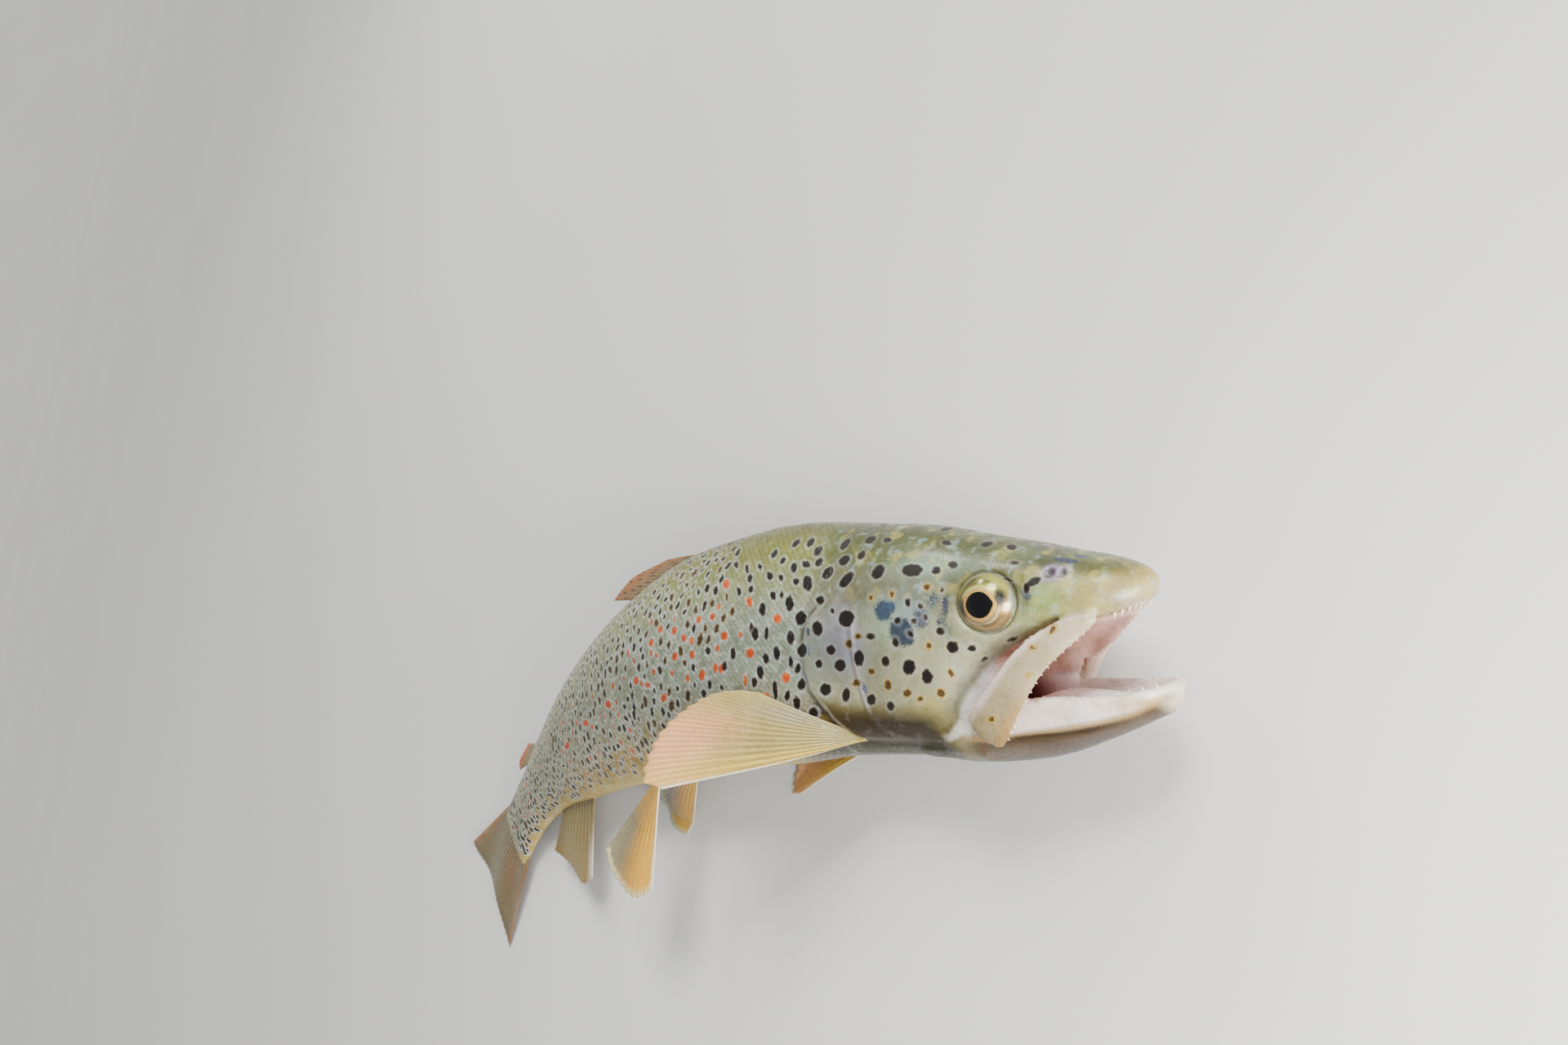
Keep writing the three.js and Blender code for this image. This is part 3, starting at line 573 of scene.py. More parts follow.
PREOPERCLE, COVER_SEAM, JAW_GROOVE, LIP_LINE, CHEEK_EDGE = map(curve_points, (
    [(73, 9), (75, -2.4), (75.5, -10.1), (76.2, -19), (73, -25), (64, -27.4), (54, -28)],
    [(79, -8), (84, -13), (90, -18), (93, -21)],
    [(40, -27.4), (34, -26.3), (22.3, -25.1), (9.6, -22.7), (3, -20.2), (-0.6, -18.2)],
    [(34, -23.6), (29, -22.5), (21.3, -21.1), (13.8, -20.1), (6.7, -18.5), (0.3, -15.9)],
    [(24, -0.6), (27.2, -2.3), (35.1, -6.5), (39.7, -11.6), (45.4, -17.2), (47.7, -20.9), (47, -25)]))
NOSTRILS = [(16.9, 11.2, 1.0, 0.75), (19.6, 11.5, 1.15, 0.85)]  # s, y, half length, half height


def mouth_share(points, normals):
    """1 on the lining of the mouth, 0 outside."""
    s, y, w = points.T
    roof_line = palate_at(s)
    floor_line = np.where(s < 55, rim_at(s), -28)
    middle = (roof_line + floor_line) / 2
    inward = np.stack([np.zeros_like(s), middle - y, -w], 1)
    inward[:, 0] = np.where(s < 6, 3.0, 0)
    inward /= np.maximum(np.linalg.norm(inward, axis=1), 1e-6)[:, None]
    facing = np.einsum("ij,ij->i", inward, normals)
    wall = np.where(y > middle, 0.62 * half_width_at(s), jaw_half_width_at(s) - 1.0)
    blade = (y < palate_at(s) - 0.8) & (y > rim_at(s) - 1)
    wall = np.where(blade, np.maximum(wall, 15.2), wall)
    within = (np.abs(w) < wall) & ((s < 50) | ((np.abs(w) < 9) & (s < 60)))
    within &= (y < roof_at(s) + 1) & (y > mouth_floor_at(s) - 1.5)
    return smooth(-0.05, 0.35, facing) * within * smooth(0.5, 2.5, s + 1.5)


def maxilla_share(points):
    """1 on the blade beside the mouth, 0 off it, with how far along and across it lies."""
    t = np.linspace(0, 1, 60)
    line = np.stack([maxilla_s(t), maxilla_y(t)], 1)
    gap, along = line_distance(points[:, 0], points[:, 1], line)
    i = np.clip((along * 59).astype(int), 0, 59)
    tangent_s, tangent_y = np.gradient(line[:, 0])[i], np.gradient(line[:, 1])[i]
    side = ((points[:, 0] - line[i, 0]) * -tangent_y + (points[:, 1] - line[i, 1]) * tangent_s
            ) / np.hypot(tangent_s, tangent_y)
    over = np.abs(points[:, 2]) - maxilla_w(along)
    share = (1 - smooth(-0.5, 0.5, gap - breadth_at(along))) * smooth(-2.2, -0.8, over)
    return share, along, side / np.maximum(breadth_at(along), 0.5)


def relief(points, normals):
    """How far each point of the bare skin moves out along its normal."""
    s, y, w = points.T
    lift = np.zeros(len(s))
    outside = (1 - mouth_share(points, normals)) * smooth(-0.1, 0.3, normals[:, 2] * np.sign(w))
    gap, along = line_distance(s, y, PREOPERCLE)
    ridge = 0.25 * bell(gap) - 0.35 * bell((gap - 1.3) / 1.3) * (s > 75)
    lift += outside * ridge * smooth(0, 0.1, along) * (1 - 0.75 * smooth(0.45, 0.65, along))
    gap, along = line_distance(s, y, COVER_SEAM)
    lift -= outside * 0.3 * bell(gap / 0.9) * smooth(0, 0.2, along)
    gap, _ = line_distance(s, y, JAW_GROOVE)
    lift -= outside * 0.42 * bell(gap / 0.9)
    gap, _ = line_distance(s, y, LIP_LINE)
    lift += outside * 0.25 * bell(gap / 1.2)
    gap, along = line_distance(s, y, CHEEK_EDGE)
    lift += outside * 0.5 * bell((gap - 0.8) / 0.9) * (y > palate_at(s))
    lift -= outside * 0.2 * bell((gap - 0.8) / 0.9) * (y <= palate_at(s)) * smooth(0.15, 0.4, along)
    under = smooth(50, 56, s) * (1 - smooth(90, 97, s)) * (1 - smooth(-29, -27.5, y))
    lift -= under * 0.22 * np.cos(y * 3.6 + 0.06 * s) ** 8
    for at_s, at_y, length, height in NOSTRILS:
        r = np.hypot((s - at_s) / length, (y - at_y) / height)
        lift -= 1.0 * np.exp(-(r**3)) * (np.abs(w) > 3)
        lift += 0.22 * bell((r - 1.7) / 0.5) * (np.abs(w) > 3)
    lift += 0.25 * bump(9, 7, s) * smooth(2, 6, y) * (1 - smooth(9, 12, y)) * outside
    return lift


SOCKET_REACH, SOCKET_RIM = 7.6, 2.3


def press_for_eyes(points):
    """The skin dips into a socket round each eye."""
    points = points.copy()
    for side in (1, -1):
        centre, ahead, up, out = eye_frame(side)
        off = points - centre
        axial = off @ out
        r = np.hypot(off @ ahead, off @ up)
        near = (axial > -1) & (r < 12)
        target = np.where(r < SOCKET_REACH, -0.5 + 2.2 * smooth(6.4, SOCKET_REACH, r), SOCKET_RIM)
        pull = 1 - smooth(SOCKET_REACH, 11.5, r)
        new_axial = np.where(axial > target, axial + (target - axial) * pull, axial)
        points[near] += out * (new_axial - axial)[near, None]
    return points


set_points(skin.data, bare)
straight_normals = read_vectors(skin.data.vertex_normals, "vector")
straight = press_for_eyes(bare)
straight = straight + straight_normals * relief(straight, straight_normals)[:, None]
set_points(skin.data, straight)
straight_normals = read_vectors(skin.data.vertex_normals, "vector")
skin_posed = rest(pose(straight))
set_points(skin.data, skin_posed)
skin.data.shade_smooth()


# ------------------------------------------------------------------------------------------
# Camera: it looks at the fish as the photo does
# ------------------------------------------------------------------------------------------
CAMERA_AT = np.array([0.2740, 0.0609, 0.2246])
CAMERA_RIGHT = Vector((0.67062, 0.11290, -0.73316))
CAMERA_UP = Vector((0.00975, 0.98692, 0.16090))
CAMERA_BACK = Vector((0.74174, -0.11505, 0.66075))
LENS, SENSOR = 21.62, 36.0
PICTURE = (1920, 1280)

camera_data = bpy.data.cameras.new("camera")
camera_data.lens = LENS
camera_data.sensor_width = SENSOR
camera_data.clip_start = 0.01
camera = linked("camera", camera_data)
turned = Matrix((CAMERA_RIGHT, CAMERA_UP, CAMERA_BACK)).transposed().to_quaternion().to_matrix().to_4x4()
camera.matrix_world = Matrix.Translation(Vector(CAMERA_AT)) @ turned
bpy.context.scene.camera = camera


FOCAL = PICTURE[0] * LENS / SENSOR


def ray(x, y):
    """Direction through a point of the picture, counted in pixels from its top left corner."""
    across = (x - PICTURE[0] / 2) / FOCAL
    above = (PICTURE[1] / 2 - y) / FOCAL
    return (CAMERA_RIGHT * across + CAMERA_UP * above - CAMERA_BACK).normalized()


# ------------------------------------------------------------------------------------------
# Spots on the head and shoulder: picture x and y, half width and half height in its pixels, tilt in degrees
# ------------------------------------------------------------------------------------------
DARK_SPOTS = [
    (1037, 758, 9, 11), (1117, 698, 12.5, 7.5), (1147, 699, 5, 5), (1167, 692, 5, 5), (1159, 665, 6, 3),
    (1209, 666, 6, 2.5), (1239, 670, 6, 3), (1242, 690, 5, 3.5), (1075, 701, 10, 6.5, 48),
    (1087, 661, 5, 3), (1111, 738, 4, 5), (1099, 760, 4, 4), (1119, 760, 3, 3), (1151, 773, 5, 5),
    (1066, 780, 5.5, 5.5), (1018, 797, 5, 7), (1115, 777, 4, 4), (1096, 787, 5, 5), (1166, 793, 8, 8),
    (1191, 794, 5, 5), (1052, 807, 6, 11), (1029, 815, 7, 8), (1003, 813, 4, 5.5), (1084, 810, 5, 6.5),
    (1113, 818, 8, 10), (1135, 828, 7, 8), (1011, 845, 7, 8), (1036, 851, 5, 9), (1067, 857, 5, 7),
    (1091, 865, 4.5, 6), (1035, 666, 8, 4, 42), (1034, 686, 7, 5, 25), (1055, 680, 6, 4, 60),
    (1066, 661, 7, 4, 30), (1036, 710, 12, 5, 42), (1014, 702, 9, 6, 58), (1003, 689, 6, 3.5, 60),
    (1002, 675, 7, 4, 55), (993, 664, 6, 3, 45), (975, 666, 6, 3, 50), (987, 692, 5, 5), (989, 714, 6, 9),
    (972, 696, 7, 4, 80), (975, 713, 4, 4), (959, 687, 4.5, 3.5, 60), (949, 679, 5.5, 3.5, 60),
    (943, 706, 4, 5), (957, 708, 3, 4), (1005, 736, 5, 6), (1019, 749, 3, 4), (967, 738, 5, 9),
    (947, 730, 4, 6), (957, 729, 3, 5), (981, 757, 6, 9), (1001, 769, 6.5, 9), (968, 781, 5, 8),
    (934, 746, 4, 8), (983, 796, 5, 8), (951, 799, 4, 8), (938, 807, 4, 7), (968, 810, 4, 7),
    (978, 818, 3, 6), (982, 838, 5, 8), (949, 845, 4, 11), (976, 861, 4, 9), (996, 873, 6, 7),
    (920, 768, 3, 7), (925, 776, 4, 8), (939, 775, 3, 7), (898, 800, 3, 7), (931, 823, 4, 7),
    (924, 835, 3, 6), (965, 852, 3, 8), (888, 816, 3, 6), (905, 725, 3, 5), (920, 722, 2.5, 4),
    (931, 695, 3, 5), (915, 697, 3, 5), (919, 708, 3, 5), (902, 692, 3, 4), (877, 724, 2.5, 5),
    (1266, 712, 9, 4.2, 24), (1257, 720, 3.5, 5.5), (1154, 722, 2.6, 3.4), (1148, 745, 2.4, 2.6),
    (1135, 772, 2.2, 2.6), (1133, 755, 2.4, 2.6), (1127, 742, 3, 3), (1237, 712, 2.2, 2),
    (1240, 783, 6, 2.6, 18), (1206, 807, 5, 2.4, 35), (1150, 728, 2, 2), (1141, 764, 1.8, 2),
]
RINGED_SPOTS = [
    (1137, 791, 5, 5), (1164, 825, 4.5, 6), (1067, 823, 4.5, 4.5), (1050, 836, 4, 4), (1087, 839, 5, 7),
    (1111, 849, 5, 5), (1152, 848, 5, 5), (1127, 856, 4, 4), (1135, 719, 4, 4), (1092, 728, 4, 4),
    (1051, 779, 4, 4), (1040, 788, 3.5, 4), (1211, 789, 3, 3), (1066, 731, 2.6, 3), (1265, 794, 4.6, 4.2),
    (1289, 771, 3.4, 7.5, -38), (1259, 827, 4.5, 2.2, 20), (1214, 881, 4.6, 3, 15), (1227, 871, 2.4, 2.4),
]
ORANGE_SPOTS = [
    (952, 757, 5, 5), (887, 779, 4.5, 5), (919, 800, 5, 6), (918, 738, 4, 6), (939, 856, 4, 8),
    (963, 831, 5, 7), (856, 759, 3, 5), (827, 804, 3.5, 5), (860, 826, 4, 6), (876, 818, 3, 6),
    (890, 715, 4, 5), (913, 834, 3, 7), (813, 855, 4, 5), (779, 833, 3.5, 5), (745, 862, 4, 5),
    (798, 787, 3, 5), (826, 772, 3, 4.5), (809, 770, 3, 4.5), (838, 781, 3, 5), (848, 802, 3, 5),
    (884, 819, 3, 5), (794, 840, 3, 5), (842, 831, 3, 5), (718, 886, 3.5, 4.5), (695, 913, 3.5, 4.5),
    (873, 755, 3, 4.5), (907, 778, 3, 5),
]
# Patches of colour: picture x and y, reach along and across in millimetres, colour, strength
BLUE_PATCHES = [
    (1082, 749, 3.1, 3.0, "2d445f", 0.95), (1091, 744, 1.6, 1.8, "38536e", 0.9),
    (1104, 774, 3.9, 3.7, "1c2942", 1.1), (1112, 783, 2.2, 1.8, "243149", 0.9),
    (989, 796, 0.9, 1.8, "4d6f9c", 0.9), (986, 830, 1.0, 2.0, "5b6f94", 0.8),
    (989, 774, 0.8, 1.4, "3c4a6e", 0.9), (1058, 843, 1.4, 2.2, "7f8bb6", 0.7),
    (1306, 686, 4.4, 1.1, "2b3850", 1.0), (1322, 681, 2.2, 1.0, "33425c", 0.9),
    (1256, 727, 1.5, 2.0, "3f4e60", 0.85), (1143, 735, 3.0, 3.4, "56686a", 0.55),
    (1152, 760, 2.4, 3.6, "4c5c60", 0.5), (1128, 757, 3.0, 3.2, "4d525c", 0.75),
    # This last patch, just behind the eye, is painted shade beside the eye socket.
    (1157, 742, 1.2, 4.0, "3c4250", 0.7),
]
PATCHES = [
    (1110, 751, 6.0, 4.6, "86a6c8", 0.35), (1160, 770, 2.2, 2.6, "3e4638", 0.7),
    (1035, 785, 6.0, 8.0, "cfc8e0", 0.55), (1085, 765, 7.0, 6.0, "b4d2bc", 0.4),
    (1135, 693, 14.0, 3.4, "a2c0b2", 0.45), (1279, 735, 4.0, 4.6, "96ae72", 0.65),
    (1300, 715, 3.4, 2.6, "b0bd98", 0.5), (1262, 760, 3.6, 3.0, "a9b780", 0.6),
    # The dark patches at (1060, 880), (1006, 868) and (1085, 915) lie on the dark band low on the cheek:
    # partly its own olive-brown, partly painted shade under the head.
    (1060, 880, 10.0, 3.0, "2e240c", 0.55), (1006, 868, 5.5, 3.4, "33240e", 1.0),
    (1085, 915, 14.0, 3.0, "3d3c22", 0.55), (1345, 684, 7.0, 2.2, "6c7452", 0.7),
    (1250, 676, 8.0, 2.6, "6f7860", 0.6), (1185, 656, 10.0, 3.0, "666b4e", 0.6),
    (1336, 734, 8.0, 4.6, "97906a", 0.6), (1195, 826, 7.0, 4.0, "cfd0be", 0.45),
    (1140, 860, 6.0, 3.0, "c9b878", 0.45),
]


def patch_shares(points, places):
    """Each patch's colour code, and how strongly each point lies in it, alike on both sides of the fish."""
    mirrored = points * [1, 1, 0] + np.abs(points * [0, 0, 1])
    for centre, along, across, code, strength in places:
        off = mirrored - centre
        around = np.hypot(off[:, 1], off[:, 2])
        yield code, strength * np.exp(-((off[:, 0] / along) ** 2 + (around / across) ** 2))


def blue_share(points):
    """How strongly a point lies in one of the stippled blue patches, one of them painted shade behind the eye,
    and that patch's colour.
    """
    best, colour = np.zeros(len(points)), plain("3c6cae", points)
    for code, share in patch_shares(points, blue_places):
        colour[share > best] = rgb(code)
        best = np.maximum(best, share)
    return best, colour


face_points = [tuple(p.vertices) for p in skin.data.polygons]
skin_tree = BVHTree.FromPolygons(skin_posed.tolist(), face_points)


def skin_at(x, y):
    """The straight-fish point that shows at a point of the picture, or None."""
    hit, _, index, _ = skin_tree.ray_cast(Vector(CAMERA_AT), ray(x, y))
    if hit is None:
        return None
    corners = np.array(face_points[index])
    weight = 1 / (np.linalg.norm(skin_posed[corners] - np.array(hit), axis=1) + 1e-6)
    return (straight[corners] * weight[:, None]).sum(0) / weight.sum()


def round_direction(p):
    """Unit vector round the body at p, towards the back on the right side and away from it on the left."""
    reach = top_at(p[0]) if p[1] > 0 else -belly_at(p[0])
    half = half_width_at(p[0])
    n = np.array([p[1] / reach**2, p[2] / half**2])
    n /= np.linalg.norm(n) + 1e-9
    return np.array([0, n[1], -n[0]])


def placed(spots):
    """Spots given in the picture as (centre, direction round, inverse shape, mean radius) on the fish."""
    out = []
    for x, y, half_x, half_y, *tilt in spots:
        c, d = math.cos(math.radians(sum(tilt))), math.sin(math.radians(sum(tilt)))
        centre, a, b = (skin_at(*at) for at in ((x, y), (x + half_x * c, y - half_x * d),
                                                (x - half_y * d, y - half_y * c)))
        if centre is None or a is None or b is None:
            continue
        t = round_direction(centre)
        shape = np.array([[(p - centre)[0], (p - centre) @ t] for p in (a, b)]).T
        if abs(np.linalg.det(shape)) < 0.3 or np.abs(shape).max() > 6:
            continue
        out.append((centre, t, np.linalg.inv(shape), math.sqrt(abs(np.linalg.det(shape)))))
    return out


SPOT_TRIES, SPOT_ROOM = 13000, 9000


def scattered(side):
    """Seeded spots over the rest of the body, smaller and closer towards the tail, none touching another."""
    found = {"dark": [], "orange": [], "brown": []}
    centres = np.full((SPOT_ROOM, 3), 1e4)
    count = 0
    if side > 0:
        taken = [spot[0] for kind in placed_all.values() for spot in kind]
        count = len(taken)
        centres[:count] = taken
    for _ in range(SPOT_TRIES):
        s = rng.uniform(14, 339)
        turn = rng.uniform(-1.15, 1.5)
        rear = float(smooth(96, 150, s))
        p = flank_point(np.array([s]), np.array([turn]))[0] * [1, 1, side]
        height = float(height_at(s, p[1]))
        if side > 0 and seen_in_picture(p):
            continue
        if (s < 45 and p[1] < 14) or (s < 80 and p[1] < -22):
            continue
        spacing = 8.5 if s < 80 else (6.2 - 2.75 * rear) * (1 - 0.14 * smooth(200, 330, s))
        if height < -0.62 and rng.random() < smooth(-0.62, -0.95, height):
            continue
        nearest = np.min(np.sum((centres[:count] - p) ** 2, axis=1), initial=1e9)
        if nearest < (spacing * rng.uniform(0.85, 1.25)) ** 2:
            continue
        centres[count] = p
        count += 1
        middle = float(bump(-0.15, 0.75, height))
        chance = rng.random()
        if s < 92:
            kind = "dark" if chance < 0.8 else "brown"
        elif chance < 0.2 * rear * middle + 0.04 * middle:
            kind = "orange"
        else:
            kind = "dark" if chance > 0.36 + 0.34 * rear * middle else "brown"
        radius = {"dark": 1.6 - 0.62 * rear, "orange": 1.25 - 0.3 * rear, "brown": 1.25 - 0.1 * rear}[kind]
        radius *= rng.uniform(0.75, 1.3) * (1 - 0.1 * smooth(200, 330, s))
        a, b = radius * rng.uniform(0.72, 0.95), radius * rng.uniform(1.0, 1.5)
        lean = rng.normal(0, 0.35)
        shape = np.array([[a * math.cos(lean), -b * math.sin(lean)],
                          [a * math.sin(lean), b * math.cos(lean)]])
        found[kind].append((p, round_direction(p), np.linalg.inv(shape), math.sqrt(a * b)))
    return found


def seen_in_picture(p):
    """True where the picture's own spots are placed one by one."""
    at = pose(p[None])[0] - CAMERA_AT
    depth = -(at @ np.array(CAMERA_BACK))
    x = PICTURE[0] / 2 + FOCAL * (at @ np.array(CAMERA_RIGHT)) / depth
    y = PICTURE[1] / 2 - FOCAL * (at @ np.array(CAMERA_UP)) / depth
    return x > 922 + 0.12 * (y - 760) and p[2] > 2


placed_all = {"dark": placed(DARK_SPOTS), "orange": placed(ORANGE_SPOTS), "brown": placed(RINGED_SPOTS)}
for each_side in (scattered(1), scattered(-1)):
    for name, spots in each_side.items():
        placed_all[name] = placed_all[name] + spots


patch_places, blue_places = ([(skin_at(*p[:2]), *p[2:]) for p in patches if skin_at(*p[:2]) is not None]
                             for patches in (PATCHES, BLUE_PATCHES))

FAR = 3.0  # the spots' distance fields end here, in millimetres


def spot_field(points, spots):
    """Distance in millimetres outside the nearest spot's edge, less than 0 inside it."""
    order = np.argsort(points[:, 0])
    s_sorted = points[order, 0]
    field = np.full(len(points), FAR)
    for centre, t, inverse, size in spots:
        reach = 3 * size + FAR + 1
        first, last = np.searchsorted(s_sorted, [centre[0] - reach, centre[0] + reach])
        index = order[first:last]
        off = points[index] - centre
        close = (np.abs(off[:, 1]) < reach) & (np.abs(off[:, 2]) < reach)
        index, off = index[close], off[close]
        flat = np.stack([off[:, 0], off @ t], 1) @ inverse.T
        value = (np.linalg.norm(flat, axis=1) - 1) * size
        field[index] = np.minimum(field[index], value)
    return field


# ------------------------------------------------------------------------------------------
# Colours
# ------------------------------------------------------------------------------------------
def rgb(code):
    """Linear colour of an sRGB hex code."""
    value = np.array([int(code[i:i + 2], 16) / 255 for i in (0, 2, 4)])
    return np.where(value <= 0.04045, value / 12.92, ((value + 0.055) / 1.055) ** 2.4)


def vivid(colour):
    """The same colour, richer and a little darker."""
    grey = colour @ np.array([0.2126, 0.7152, 0.0722])
    return np.clip(grey[:, None] + (colour - grey[:, None]) * 1.3, 0.004, 1) * 0.93


def plain(code, points):
    """One colour for every point."""
    return np.repeat(rgb(code)[None], len(points), 0)


def mixed(base, code, share):
    """The base with a colour laid over it, as strongly as share."""
    return base + (rgb(code) - base) * np.asarray(share)[:, None]


def layered(colour, layers):
    """Colours laid over each other in turn, each as (code, share)."""
    for code, share in layers:
        colour = mixed(colour, code, share)
    return colour


def blend(colour, other, share):
    """Two colours, point by point."""
    return colour * (1 - share[:, None]) + other * share[:, None]


def trout_tint(points):
    """Ground colour of the outer skin, before spots, with painted shade low on the head and a painted shadow
    behind the gill cover's edge.
    """
    s, y, w = points.T
    height = height_at(s, y)
    colour = layered(plain("acb3a4", s), [
        ("9da27f", smooth(0.1, 0.5, height)),
        ("84854f", smooth(0.4, 0.8, height)),
        ("5e5d30", smooth(0.75, 0.98, height)),
        ("aba68c", 1 - smooth(-0.62, -0.25, height)),
        ("b59a68", 1 - smooth(-0.8, -0.5, height)),
        ("dcc489", 1 - smooth(-0.98, -0.78, height)),
        ("948a62", 0.7 * smooth(130, 290, s) * smooth(-0.7, -0.2, height))])
    head = 1 - smooth(84, 96, s)
    colour = layered(colour, [
        ("b0b094", head * (1 - smooth(0.45, 0.8, height)) * smooth(-1.05, -0.75, height)),
        ("a3a9a8", bump(82, 20, s) * bump(-1, 15, y)),
        ("7d8450", head * smooth(0.5, 0.9, height) * smooth(20, 40, s)),
        ("59603a", head * smooth(0.8, 1.0, height) * smooth(24, 44, s) * 0.7),
        ("8f9250", (1 - smooth(14, 34, s)) * smooth(3, 12, y)),
        ("aca063", (1 - smooth(8, 26, s)) * (1 - smooth(8, 13, y))),
        ("b9a66e", (1 - smooth(0, 9, s)) * 0.8)])
    olive = smooth(45, 54, s) * (1 - smooth(93, 101, s)) * (1 - smooth(-20.5, -16, y)) * smooth(-33, -29, y)
    colour = mixed(colour, "a08c52", olive * 0.5)
    # A dark olive-brown band low on the cheek and gill cover: partly the skin's own colour, partly painted
    # shade under the head.
    olive_band_and_shade = smooth(48, 62, s) * (1 - smooth(90, 99, s)) * (1 - smooth(-25.5, -16.5 + 1.5 * bump(89, 12, s), y))
    colour = layered(colour, [
        ("6d5c2c", np.sqrt(np.clip(olive_band_and_shade, 0, 1)) * 0.55),
        ("281d08", np.minimum(olive_band_and_shade * 1.25, 1) * 0.95)])
    # Darker under the head and along the throat's sides: partly the skin's own colour, partly painted shade.
    # It stays paler along the middle of the underside.
    under = smooth(44, 60, s) * (1 - smooth(96, 130, s)) * (1 - smooth(-30.5, -27.5, y))
    colour = layered(colour, [
        ("6f6b60", under),
        ("2a2a16", under * (0.15 + 0.79 * smooth(3, 10, np.abs(w)))),
        ("403f35", under * bump(48, 14, s) * 0.6)])
    keel = smooth(46, 54, s) * (1 - smooth(100, 130, s)) * (1 - smooth(-35.2, -33.6, y))
    colour = mixed(colour, "8a8488", keel * 0.7)
    brow = head * smooth(3, 10, y) * smooth(14, 22, s)
    colour = colour * (1 - 0.52 * brow[:, None])
    ridge = (1 - smooth(22, 30, s)) * smooth(7.5, 12.5, y) * smooth(-1, 6, s)
    colour = mixed(colour, "6d7460", ridge * 0.5)
    colour = colour * (1 - 0.48 * ridge[:, None])
    colour = mixed(colour, "c8baa8", (1 - smooth(4, 14, s)) * (1 - smooth(5, 9.5, y)) * 0.6)
    colour = colour * (1 - 0.14 * (1 - smooth(12, 26, s)))[:, None]
    colour = colour * (1 - head * (0.15 + 0.17 * bump(50, 9, s) * bump(3, 7, y)))[:, None]
    for code, share in patch_shares(points, patch_places):
        colour = mixed(colour, code, np.minimum(share, 1))
    # Round each nostril a purple-grey rim. Its opening is darkened as painted shade in the pit.
    for at_s, at_y, length, tall in NOSTRILS:
        r = np.hypot((s - at_s) / length, (y - at_y) / tall)
        colour = layered(colour, [
            ("8f8396", 0.8 * bell((r - 1.7) / 0.6) * (np.abs(w) > 3)),
            ("3a2a3a", np.exp(-((r / 1.1) ** 4)) * (np.abs(w) > 3))])
    gap, along = line_distance(s, y, PREOPERCLE)
    line = smooth(0, 0.12, along) * (1 - smooth(0.42, 0.56, along))
    colour = layered(colour, [
        ("e6e0ec", 0.85 * bell(gap / 0.75) * line),
        ("6f6e62", 0.5 * bell((s - 76.4) / 0.7) * (gap < 2.5) * line)])
    behind = s - cover_rear_at(y)
    along_edge = smooth(-28, -25, y) * (1 - smooth(8, 12, y))
    colour = mixed(colour, "cbc2ae", 0.4 * (1 - smooth(0.4, 1.5, np.abs(behind + 1.0))) * along_edge)
    shade = smooth(-0.4, 0.4, behind) * (1 - smooth(0.8, 2.4, behind))
    colour = mixed(colour, "3a3626", 0.75 * shade * along_edge)
    return colour


def jaw_tint(colour, points, outside):
    """Lower jaw: white gum, ochre lip, a dark line and a reddish-brown chin."""
    s, y, w = points.T
    on_jaw = (1 - smooth(44, 54, s)) * (1 - smooth(0.2, 1.2, y - rim_at(s)))
    on_jaw = on_jaw * (np.abs(w) < jaw_half_width_at(s) + 1)
    lip, groove = (np.interp(s, line[::-1, 0], line[::-1, 1]) for line in (LIP_LINE, JAW_GROOVE))
    lip = groove + 0.42 * (lip - groove)
    front = 1 - smooth(22, 40, s)
    colour = layered(colour, [
        ("574835", on_jaw),
        ("452d19", on_jaw * (1 - smooth(-3.0, 0.3, y - groove)) * front * 0.9)])
    low_edge = 1 - smooth(-2.5, 1.0, y - jaw_bottom_at(s) - 2.4)
    colour = layered(colour, [
        ("3f3a30", on_jaw * low_edge * smooth(8, 22, s)),
        ("b3925c", on_jaw * smooth(-0.6, 0.8, y - groove) * (1 - smooth(-0.4, 0.8, y - lip))),
        ("f3e4dc", on_jaw * smooth(-0.6, 0.9, y - lip)),
        ("b59a62", on_jaw * (1 - smooth(3, 14, s)) * bump(-18.4, 2.4, y) * 0.8),
        ("c9bea8", on_jaw * (1 - smooth(-1.4, 2.2, s)))])
    gap, _ = line_distance(s, y, JAW_GROOVE)
    dark = smooth(6, 14, s) * (1 - smooth(30, 44, s))
    colour = mixed(colour, "33230f", on_jaw * outside * (0.35 + 0.6 * dark) * bell(gap / 0.75))
    return colour


def wall_share(points, inside):
    """1 on the outside of the thin cheek wall behind the maxilla."""
    s, y, _ = points.T
    depth = 1 - smooth(0.3, 1.1, y - palate_at(s))
    return (1 - inside) * depth * (s > 14) * (1 - smooth(53, 57, s)) * smooth(-0.6, 0.6, y - rim_at(s) + 0.6)


